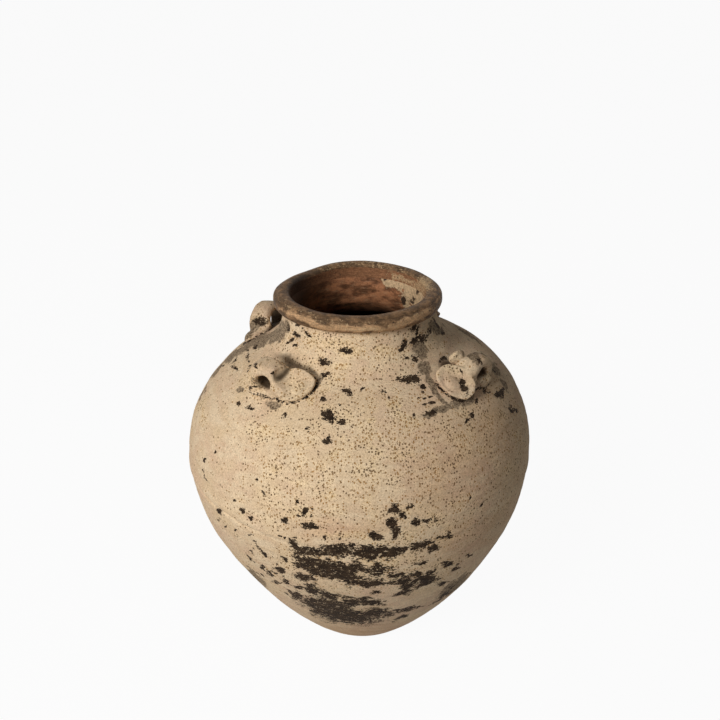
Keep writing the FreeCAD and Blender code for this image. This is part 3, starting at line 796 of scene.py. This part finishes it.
# cream slip that ran over the mouth, seen on the far inner side of the neck
CREAM_INSIDE = (
    (398, 283, 17, 6, -14), (411, 287, 15, 9, -30), (408, 299, 6.5, 9, 10), (424, 288, 9, 9, 0),
    (417, 299, 9, 7, 40), (388, 281, 7, 5, -30), (409, 279, 16, 5, -20),
)
DARK_INSIDE = (
    (417, 292, 2.2, 5, 0), (412, 299, 4.5, 3.4, 40), (404, 301, 3, 3.6, 20), (386, 279.5, 2.4, 1.6, -30),
    (419, 285.5, 3, 2, 40),
)
# worn and slipped places on the rim
RIM_PALE = (
    (371, 329.5, 14, 2.4, 2), (426, 283, 9.5, 6, -38), (350, 330.5, 12, 1.2, -6),
    (404, 279.5, 16, 4, -20), (419, 288, 9, 7, -40),
)
RIM_FLECKS = (
    (316, 315.8, 34, 1.3, -18), (340, 322.2, 14, 1.2, -10), (289, 306, 7, 1.6, -42),
    (395, 325, 12, 1.4, 16), (365, 323, 18, 1, 0), (330, 323, 20, 3, -14), (410, 318, 16, 2, 28),
    (330, 265.5, 30, 2.5, 8), (385, 266, 26, 2, -8),
)
RIM_WARM = (
    (355, 329, 52, 4, 0), (405, 323, 30, 4, 24), (310, 321, 30, 3, -22),
)


def painted_inner_shade(points):
    """Painted shade: the inside is made darker deep down and round its left side."""
    x, height = points[:, 0], points[:, 2]
    left = smooth(5 * MM, 48 * MM, -x) * (1 - smooth(20 * MM, 60 * MM, points[:, 1]))
    return np.maximum(0.9 * left, 0.95 * (1 - smooth(285 * MM, 322 * MM, height)))


def wall_piece(name, node, outer, inner, materials):
    """A ring of the jar's wall: its outer face, both joint faces and its inner face."""
    inner = inner[::-1]
    top = flat_step(outer[-1], inner[0], JOINT_STEP)
    bottom = flat_step(inner[-1], outer[0], JOINT_STEP)
    points, faces = ring_mesh(np.concatenate([outer, top, inner, bottom]), COLUMNS)
    skin = len(outer) * COLUMNS
    outside, hollow = shaped(points[:skin], 1.0), shaped(points[skin:], 0.0)
    levels = {**wear_levels(outside), "cream": np.zeros(skin)}
    flaked_relief(outside, levels["flaked"])
    inside = np.arange(len(faces)) // COLUMNS >= len(outer) - 1
    piece = add_mesh(name, np.concatenate([outside, hollow]), faces, materials, inside)
    far = hollow[:, 1] > 0
    within = {
        "flaked": patch_field(hollow, DARK_INSIDE, far),
        "cream": patch_field(hollow, CREAM_INSIDE, far),
        # painted shade inside, deep down and round the left
        "painted_shade": painted_inner_shade(hollow),
    }
    for level, values in levels.items():
        store(piece, level, np.concatenate([values, within.get(level, np.zeros(len(hollow)))]))
    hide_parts(node)


def walls(slip, inside):
    spans = (
        ("lower_body", "lower_wall", (FLOOR_TOP, SEAM_HEIGHT), (FLOOR_TOP, SEAM_IN_HEIGHT)),
        ("shoulder", "shoulder_wall", (SEAM_HEIGHT, NECK_JOINT), (SEAM_IN_HEIGHT, NECK_JOINT_IN)),
        ("neck", "neck_collar", (NECK_JOINT, COLLAR_TOP), (NECK_JOINT_IN, COLLAR_TOP)),
    )
    for name, node, outer, inner in spans:
        outer, inner = between(OUTER_LINE, *outer, SKIN_STEP), between(INNER_LINE, *inner, INNER_STEP)
        wall_piece(name, node, outer, inner, (slip, inside))


def base(slip, foot):
    """A disc with a hair's width left open at the axis, where the ring mesh can't close."""
    edge = between(OUTER_LINE, FOOT_ROUND, FLOOR_TOP, 2 * MM)
    corner = (BASE_RADIUS - FOOT_ROUND, FOOT_ROUND)
    profile = np.concatenate([
        flat_step((AXIS_GAP, 0), (corner[0], 0), 8 * MM),
        arc(corner, FOOT_ROUND, -math.pi / 2, -0.6, 1 * MM),
        edge,
        flat_step(tuple(edge[-1]), (AXIS_GAP, FLOOR_TOP), 6 * MM),
    ])
    points, faces = ring_mesh(profile, COLUMNS)
    points = shaped(points, 1.0)
    rows = np.arange(len(faces)) // COLUMNS
    slipped = (rows >= len(profile) - len(edge) - FLOOR_ROWS) & (profile[rows, 1] > 1 * MM)
    piece = add_mesh("base", points, faces, (foot, slip), slipped)
    for name, level in wear_levels(points).items():
        store(piece, name, level)
    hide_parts("base_disc")


# how far the rim's surface stands from the middle of its roll, by angle from straight out
RIM_ANGLES = (-60, -25, -8, 6, 22, 36, 44, 50, 58, 70, 90, 112, 126, 140, 152, 166, 180)
RIM_REACH = (7.5, 7.5, 7.3, 7.1, 7.5, 7.4, 6.8, 6.2, 6.7, 7.1, 7.3, 7.8, 8.6, 9.1, 8.7, 7.8, 7.5)
RIM_ROWS = 72
# rises and dips round the rim's top: height in mm, azimuth and width in degrees
RIM_WAVES = ((1.0, 90, 50), (-0.8, 128, 26))


def rim_roll(angles):
    """The roll has a flat top, a raised inner edge and a shallow groove round the front."""
    reach = np.interp(np.degrees(angles), RIM_ANGLES, RIM_REACH) * MM
    kernel = np.hanning(5) / np.hanning(5).sum()
    return np.convolve(np.pad(reach, 2, mode="edge"), kernel, mode="valid")


def rim(material):
    middle = np.array([MOUTH_RADIUS + RIM_ROLL, RIM_HEIGHT])
    seat = math.asin((COLLAR_TOP - RIM_HEIGHT) / RIM_ROLL)
    angles = np.linspace(seat, math.pi, RIM_ROWS)
    roll = middle + rim_roll(angles)[:, None] * np.stack([np.cos(angles), np.sin(angles)], 1)
    inner = flat_step((MOUTH_RADIUS, RIM_HEIGHT), (MOUTH_RADIUS, COLLAR_TOP), 1.5 * MM)
    under = flat_step((MOUTH_RADIUS, COLLAR_TOP), tuple(roll[0]), 2 * MM)
    loop = np.concatenate([roll, inner, [[MOUTH_RADIUS, COLLAR_TOP]], under])
    points, faces = ring_mesh(loop, COLUMNS)
    turned = np.arctan2(points[:, 1], points[:, 0])
    lift = smooth(COLLAR_TOP, RIM_HEIGHT, points[:, 2])
    points = shaped(points, 0.0)
    points[:, 2] -= lift * 0.5 * MM * (0.6 + noise(points, 34 * MM, 61, 2))
    for rise, azimuth, width in RIM_WAVES:
        points[:, 2] += lift * rise * MM * azimuth_bump(turned, azimuth, width)
    piece = add_mesh("rim", points, faces, (material,))
    everywhere = np.ones(len(points))
    pale = patch_field(points, RIM_PALE, everywhere)
    blotches = smooth(0.3, 1.0, noise(points * (1, 1, 2), 26 * MM, 63, 2))
    unseen = blotches * smooth(0, 30 * MM, points[:, 1])
    flecks = patch_field(points, RIM_FLECKS, everywhere, 0.42)
    store(piece, "pale", np.maximum.reduce([pale, flecks, 0.5 * unseen]))
    store(piece, "warm", patch_field(points, RIM_WARM, everywhere, 1.0))
    radius = np.hypot(points[:, 0], points[:, 1])
    low = 1 - smooth(363 * MM, 367 * MM, points[:, 2])
    store(piece, "inner", (1 - smooth(62.5 * MM, 66 * MM, radius)) * low)
    # painted shade on the rim's inner edge, at the left
    store(piece, "painted_shade", painted_inner_shade(points) * (1 - smooth(63 * MM, 69 * MM, radius)))
    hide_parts("rolled_rim")


# ---------------------------------------------------------------- the lugs

# Lengths here are in millimetres, in a frame that lies on the shoulder: u runs along
# the strap towards its pad, w runs down the slope and h stands off the surface.

STRAP_LEAN = math.radians(20)
PAD_HALF = 2.9
PAD_DISH = 3.2
DISH_ROUND = 27.0
LUG_STEP = 0.75
LUG_ROOM = ((-36.0, 52.0), (-30.0, 27.0), (-2.0, 27.0))

# azimuth of the hole, drop below the neck's foot and twist in degrees, and the side of the pad
LUGS = {
    "lug_front_left": (-137.0, 5.8, 20.0, 1),
    "lug_front_right": (-28.5, 8.8, 17.0, -1),
    "lug_back_left": (150.0, 3.9, 0.0, 1),
    "lug_back_right": (66.0, 6.8, 8.0, -1),
}
# the middle and turn of the back left strap's smeared end
TONGUE = (24.0, 6.0, 1.5)
TONGUE_TURN = 38.0
TOE_RADII = (8.0, 8.0, 5.0)
# each strap's ring radius, middle along u, lift off the shoulder, width and thickness
STRAPS = {
    "lug_front_left": (13.6, 0.4, 6.0, 20.0, 9.4),
    "lug_front_right": (13.4, 3.2, 5.4, 16.0, 8.5),
    "lug_back_left": (16.2, 1.5, 4.9, 22.0, 6.8),
    "lug_back_right": (16.2, 0.0, 2.2, 18.0, 8.5),
}
# each pad's middle as (u, w, h), its radius, its slopes along u and w in degrees,
# and its width for its length
PADS = {
    "lug_front_left": ((25.0, 4.5, 6.0), 16.0, 14.0, 17.0, 1.0),
    "lug_front_right": ((30.5, 6.0, 7.4), 13.2, 22.0, 18.0, 1.36),
    "lug_back_right": ((27.0, 2.0, 6.6), 15.5, 20.0, 8.0, 1.0),
}
# lumps of clay added (1) and hollows pressed (-1): middle, radii and how softly they join
LUMPS = {
    "lug_front_left": (
        (-1, (24.4, 6.5, 19.3), (12.4, 15.0, 12.7), 0.9),
        (1, (-15.0, -6.0, 1.0), (13.0, 8.0, 7.5), 4.0),
    ),
    "lug_front_right": (
        (1, (15.5, -16.0, 13.5), (7.5, 7.0, 7.5), 0.5),
        (1, (-8.5, 6.5, 2.0), (6.0, 5.0, 6.5), 1.5),
        (1, (-1.0, 4.0, 0.0), (11.0, 9.0, 8.0), 2.0),
    ),
    "lug_back_left": ((-1, (28.0, 0.0, 14.5), (9.0, 9.0, 9.0), 1.0),),
    "lug_back_right": (),
}
# the dents of the hand, how far the fillet reaches from the clay, and how deep the mesh goes under
# the shoulder
HAND_DENTS, FINE_DENTS = 0.55, 0.16
FILLET_REACH = 3
LUG_SINK = 0.8
# how much darker each whole lug is made, stored with its painted shade
LUG_TONE = {"lug_front_left": 0.04, "lug_front_right": 0.13, "lug_back_left": 0.16, "lug_back_right": 0.10}
# where the painted shade line in the crease at the foot of the front left strap crosses w = 0, and its
# slant
CREASE_AT, CREASE_SLANT = 15.6, 0.4


def soft_min(first, second, reach):
    part = np.clip(0.5 + 0.5 * (second - first) / reach, 0, 1)
    return second + (first - second) * part - reach * part * (1 - part)


def soft_max(first, second, reach):
    return -soft_min(-first, -second, reach)


def blob(spot, middle, radii):
    """Distance to an ellipsoid, near enough."""
    parts = [(value - centre) / radius for value, centre, radius in zip(spot, middle, radii)]
    return (np.sqrt(sum(part ** 2 for part in parts)) - 1) * min(radii)


def rounded_box(across, along, half_across, half_along, corner):
    """Distance to a rounded rectangle about the origin of a plane."""
    over, out = np.abs(across) - half_across + corner, np.abs(along) - half_along + corner
    outside = np.hypot(np.maximum(over, 0), np.maximum(out, 0))
    return outside + np.minimum(np.maximum(over, out), 0) - corner


def strap_field(spot, ring, middle, lift, width, thickness):
    """A broad band of clay bent over into a ring, thicker where it meets the shoulder."""
    along, up = spot[0] - middle, spot[2] - lift
    wide = spot[1] * math.cos(STRAP_LEAN) + up * math.sin(STRAP_LEAN)
    tall = up * math.cos(STRAP_LEAN) - spot[1] * math.sin(STRAP_LEAN)
    reach = np.hypot(along, tall)
    legs = (1 - np.clip(tall / np.maximum(reach, 1), 0, 1)) ** 1.4
    near = smooth(-8, 8, along)
    half = thickness / 2 + legs * (thickness - 6.0)
    spread = width / 2 + legs * (3.4 * near - 1.2)
    crown = 1.1 * (wide / spread) ** 2
    return rounded_box(reach - ring - 1.4 * near * legs + crown, wide, half, spread, 3.9)


def pad_field(spot, middle, radius, tilt_u, tilt_w, stretch):
    """The end of the strap, pressed into a dish with the thumb and leaning on the shoulder."""
    lean = np.array([math.tan(math.radians(tilt_u)), math.tan(math.radians(tilt_w)), 1.0])
    lean /= np.linalg.norm(lean)
    offset = [value - centre for value, centre in zip(spot, middle)]
    offset[1] = offset[1] / stretch
    up = sum(part * share for part, share in zip(offset, lean))
    out = np.sqrt(np.maximum(sum(part ** 2 for part in offset) - up ** 2, 0))
    disc = rounded_box(out, up, radius, PAD_HALF, 2.5)
    dish = DISH_ROUND - np.hypot(out, up - DISH_ROUND - PAD_HALF + PAD_DISH)
    heel = (middle[0] + 2, middle[1] - 1, middle[2] * 0.3)
    under = blob(spot, heel, (radius - 5, radius - 4, middle[2]))
    return soft_min(soft_max(disc, dish, 1.6), under, 0.8)


def tongue_field(spot):
    """The back left strap's end, smeared down the shoulder."""
    cosine, sine = math.cos(math.radians(TONGUE_TURN)), math.sin(math.radians(TONGUE_TURN))
    along, across = spot[0] - TONGUE[0], spot[1] - TONGUE[1]
    laid = (along * cosine + across * sine, across * cosine - along * sine, spot[2])
    return blob(laid, (0, 0, TONGUE[2]), (16.0, 8.5, 5.0))


def end_field(name, spot):
    if name == "lug_back_left":
        return tongue_field(spot)
    return pad_field(spot, *PADS[name])


def lug_field(name, spot):
    """Distance to a lug's clay, the shoulder left out."""
    ring, middle = STRAPS[name][:2]
    toe = blob(spot, (middle - ring - 2.0, 0.0, 0.0), TOE_RADII)
    lug = soft_min(strap_field(spot, *STRAPS[name]), toe, 4.0)
    join = 0.5 + 4.0 * smooth(-2, 8, spot[1]) if name == "lug_front_left" else 3.2
    lug = soft_min(lug, end_field(name, spot), join)
    for kind, centre, radii, reach in LUMPS[name]:
        lump = blob(spot, centre, radii)
        lug = soft_min(lug, lump, reach) if kind > 0 else soft_max(lug, -lump, reach)
    return lug


def painted_lug_shade(name, u, w, h):
    """Painted shade in the cord hole, and a painted shade line in the crease at the foot of the front left
    strap.
    """
    ring, middle, lift, width, thickness = STRAPS[name]
    hole = 1 - smooth(-1.5, 1.5, np.hypot(u - middle, h - lift) - ring + thickness / 2)
    hole_and_crease_shade = 0.92 * hole * (1 - smooth(0.5, 1.1, np.abs(w) / width * 2))
    if name == "lug_front_left":
        crease = 1 - smooth(0.3, 2.7, np.abs(u - CREASE_AT + CREASE_SLANT * w))
        crease *= smooth(3, 6, h) * smooth(-15, -10, w) * (1 - smooth(4, 10, w))
        hole_and_crease_shade = np.maximum(hole_and_crease_shade, 0.9 * crease)
    return hole_and_crease_shade


def skin_of(field, corner, step):
    """Points and faces of the surface where a field on a grid is zero (surface nets)."""
    shape = np.array(field.shape) - 1
    total, count = np.zeros((*shape, 3)), np.zeros(shape)
    crossings = []
    for axis in range(3):
        ahead = np.moveaxis(field, axis, 0)
        low, high = ahead[:-1], ahead[1:]
        crossed = (low < 0) != (high < 0)
        part = np.where(crossed, low / np.where(crossed, low - high, 1), 0)
        crossed, part = np.moveaxis(crossed, 0, axis), np.moveaxis(part, 0, axis)
        crossings.append((crossed, np.moveaxis(low < 0, 0, axis)))
        others = [(axis + 1) % 3, (axis + 2) % 3]
        for near in np.ndindex(2, 2):
            cut = [slice(None)] * 3
            for other, offset in zip(others, near):
                cut[other] = slice(offset, shape[other] + offset)
            here, along = crossed[tuple(cut)], part[tuple(cut)]
            count += here
            total[..., axis] += along
            for other, offset in zip(others, near):
                total[..., other] += here * offset
    used = count > 0
    number = np.full(count.shape, -1)
    number[used] = np.arange(used.sum())
    cells = np.argwhere(used)
    points = (cells + total[used] / count[used][:, None]) * step + corner
    faces = []
    for axis, (crossed, rising) in enumerate(crossings):
        first, second = (axis + 1) % 3, (axis + 2) % 3
        inner = [slice(None)] * 3
        inner[first] = inner[second] = slice(1, -1)
        edges = np.argwhere(crossed[tuple(inner)])
        up = rising[tuple(inner)][tuple(edges.T)]
        quad = []
        for one, two in ((0, 0), (1, 0), (1, 1), (0, 1)):
            cell = edges.copy()
            cell[:, first] += one
            cell[:, second] += two
            quad.append(number[tuple(cell.T)])
        quad = np.stack(quad, 1)
        faces.append(np.where(up[:, None], quad, quad[:, ::-1]))
    return points, np.concatenate(faces)


DOWN_LINE = OUTER_LINE[::-1]
DOWN_LENGTHS = lengths_along(DOWN_LINE)


def way_down(drop):
    """Length of the outer line from the mouth down to a lug's cord hole."""
    height = height_on(SHOULDER_CENTRE, SHOULDER_ARC, SHOULDER_TURN - math.radians(drop))
    return np.interp(-height, -DOWN_LINE[:, 1], DOWN_LENGTHS)


def on_shoulder(places, place):
    """Carry lug points on to the jar: its foot points and the way out of the surface."""
    azimuth, drop, twist, side = place
    cosine, sine = math.cos(math.radians(twist)), math.sin(math.radians(twist))
    u, w = places[:, 0] * MM, places[:, 1] * MM
    down = way_down(drop) + (w * cosine - u * sine)
    about = side * (u * cosine + w * sine)
    radius, height = (np.interp(down, DOWN_LENGTHS, DOWN_LINE[:, axis]) for axis in (0, 1))
    slope = np.gradient(DOWN_LINE, DOWN_LENGTHS, axis=0)
    slope_out, slope_up = (np.interp(down, DOWN_LENGTHS, slope[:, axis]) for axis in (0, 1))
    turn = math.radians(azimuth) + about / radius
    foot = np.stack([radius * np.cos(turn), radius * np.sin(turn), height], 1)
    out = np.stack([-slope_up * np.cos(turn), -slope_up * np.sin(turn), slope_out], 1)
    return foot, out / np.linalg.norm(out, axis=1)[:, None]


def beside_lug(points, place):
    """Where points of the wall lie in a lug's own frame: u and w in millimetres."""
    azimuth, drop, twist, side = place
    cosine, sine = math.cos(math.radians(twist)), math.sin(math.radians(twist))
    down = np.interp(-points[:, 2], -DOWN_LINE[:, 1], DOWN_LENGTHS) - way_down(drop)
    turn = np.arctan2(points[:, 1], points[:, 0] - drift(points[:, 2])) - math.radians(azimuth)
    turn = (turn + math.pi) % (2 * math.pi) - math.pi
    about = side * turn * np.interp(points[:, 2], OUTER_LINE[:, 1], OUTER_LINE[:, 0])
    return (about * cosine - down * sine) / MM, (about * sine + down * cosine) / MM


def lug_grooves(points):
    """Where slip is lost round the lugs, shown partly as painted shade in the joint, and where shade is
    painted above them and in their holes: 1 against them, 0 a little way off.
    """
    groove, painted_shade = np.zeros(len(points)), np.zeros(len(points))
    for name, place in LUGS.items():
        u, w = beside_lug(points, place)
        close = np.flatnonzero((np.abs(u) < 55) & (np.abs(w) < 40))
        u, w, level = u[close], w[close], np.zeros(len(close))
        gaps = [lug_field(name, (u, w, level + height)) for height in (0.4, 8.0, 15.0)]
        groove[close] = np.maximum(groove[close], 1 - smooth(0.3, 3.0, gaps[0]))
        # painted shadow on the wall up the slope from each strap, where it stands over the shoulder
        above = smooth(3, 10, -w) * smooth(-6, 6, u) * (1 - smooth(22, 36, u))
        shade = 0.92 * above * (1 - smooth(-1.0, 6.0, np.minimum.reduce(gaps)))
        painted_shade[close] = np.maximum.reduce([painted_shade[close], shade, painted_lug_shade(name, u, w, level)])
    return groove, painted_shade


def lug(name, place, seed, material):
    axes = [np.arange(low, high, LUG_STEP) for low, high in LUG_ROOM]
    grid = np.meshgrid(*axes, indexing="ij")
    spots = np.stack([values.ravel() for values in grid], 1)
    dents = HAND_DENTS * noise(spots, 11, seed, 2) + FINE_DENTS * noise(spots, 3, seed + 1)
    field = lug_field(name, grid) + dents.reshape(grid[0].shape)
    body = grid[2]
    fillet = 2.4 - 2.1 * smooth(2, 12, grid[0])
    joined = soft_min(field, body, fillet) + 0.15
    joined = np.maximum.reduce([joined, -body - LUG_SINK, field - FILLET_REACH])
    places, faces = skin_of(joined, [axis[0] for axis in axes], LUG_STEP)
    foot, out = on_shoulder(places, place)
    points = shaped(foot, 1.0) + out * places[:, 2:] * MM
    if place[3] > 0:
        faces = faces[:, ::-1]
    piece = add_mesh(name.replace("lug", "cord_lug"), points, faces, (material,))
    u, w, h = places.T
    marks = noise(points, 7 * MM, seed + 5, 2)
    everywhere = np.ones(len(points))
    flaked = patch_field(points, FLAKES_LUGS, everywhere)
    # the lug's dark foot: partly lost slip, partly painted shade in the joint
    foot_flakes = 0.55 * (1 - smooth(0.2, 1.8, h))
    far_flakes = smooth(0.6, 1.2, marks) * (name == "lug_back_right")
    store(piece, "flaked", np.maximum.reduce([flaked, foot_flakes, far_flakes]))
    worn = patch_field(points, WORN_LUGS, everywhere)
    store(piece, "worn", np.maximum(worn, 0.45 * smooth(0.2, 1.0, marks)))
    crowded = patch_field(points, PITTED_LUGS, everywhere, 1.0)
    store(piece, "pitted", np.maximum(crowded, 0.8 * smooth(-0.6, 0.6, marks)))
    # painted shade on the lug's foot up the slope, in its hole and crease, with a plain darker tone for
    # each whole lug as the least
    deep = 0.85 * (1 - smooth(0.5, 6.0, h)) * smooth(3, 10, -w) * smooth(-6, 6, u)
    tone = np.full(len(points), LUG_TONE[name])
    store(piece, "painted_shade", np.maximum.reduce([deep, painted_lug_shade(name, u, w, h), tone]))
    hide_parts(name)


# ---------------------------------------------------------------- floor and light

WHITE = (1, 1, 1)
FLOOR_REACH = 16.0
FLOOR_GREY = (0.6, 0.6, 0.6)
FLOOR_GLOW = 0.95
WORLD_LIGHT = 0.12
KEY_AIM = Vector((0, 0, 0.25))
KEY_AZIMUTH = math.radians(-128)
KEY_RISE = math.radians(32)
KEY_DISTANCE = 2.3
KEY_SIZE = 0.9
KEY_POWER = 41


def seen_white(tree, base, output, share):
    """Nodes that show white to the camera and to reflections, and base to the light."""
    rays = tree.nodes.new("ShaderNodeLightPath").outputs
    seen = rays["Is Camera Ray"]
    for ray in ("Is Glossy Ray", "Is Transmission Ray"):
        seen = add_node(tree, "ShaderNodeMath", {0: seen, 1: rays[ray]}, operation="MAXIMUM")
    scaled = add_node(tree, "ShaderNodeMath", {0: seen, 1: share}, operation="MULTIPLY")
    glow = add_node(tree, "ShaderNodeEmission", {"Color": WHITE, "Strength": 1.0})
    tree.links.new(add_node(tree, "ShaderNodeMixShader", {0: scaled, 1: base, 2: glow}), output)


def floor():
    mesh = bpy.data.meshes.new("floor")
    far = FLOOR_REACH
    mesh.from_pydata([(-far, -far, 0), (far, -far, 0), (far, far, 0), (-far, far, 0)], [], [(0, 1, 2, 3)])
    ground = bpy.data.objects.new("floor", mesh)
    bpy.context.scene.collection.objects.link(ground)
    material = bpy.data.materials.new("floor")
    material.use_nodes = True
    tree = material.node_tree
    shader = tree.nodes["Principled BSDF"]
    shader.inputs["Base Color"].default_value = (*FLOOR_GREY, 1)
    shader.inputs["Roughness"].default_value = 0.95
    shader.inputs["Specular IOR Level"].default_value = 0.0
    seen_white(tree, shader.outputs[0], tree.nodes["Material Output"].inputs["Surface"], FLOOR_GLOW)
    mesh.materials.append(material)


def lights():
    level = KEY_DISTANCE * math.cos(KEY_RISE)
    across, back = level * math.cos(KEY_AZIMUTH), level * math.sin(KEY_AZIMUTH)
    data = bpy.data.lights.new("key", "AREA")
    data.shape = "DISK"
    data.size = KEY_SIZE
    data.energy = KEY_POWER
    light = bpy.data.objects.new("key", data)
    light.location = KEY_AIM + Vector((across, back, KEY_DISTANCE * math.sin(KEY_RISE)))
    light.rotation_euler = (KEY_AIM - light.location).to_track_quat("-Z", "Y").to_euler()
    bpy.context.scene.collection.objects.link(light)
    world = bpy.data.worlds.new("world")
    world.use_nodes = True
    bpy.context.scene.world = world
    tree = world.node_tree
    soft = tree.nodes["Background"]
    soft.inputs["Color"].default_value = (*WHITE, 1)
    soft.inputs["Strength"].default_value = WORLD_LIGHT
    seen_white(tree, soft.outputs[0], tree.nodes["World Output"].inputs["Surface"], 1.0)


def jar():
    slip = slip_material()
    walls(slip, inside_material())
    base(slip, foot_material())
    rim(rim_material())
    for seed, (name, place) in enumerate(LUGS.items()):
        lug(name, place, 70 + 3 * seed, slip)


bpy.context.scene.view_settings.view_transform = "Standard"
add_camera()
floor()
lights()
jar()
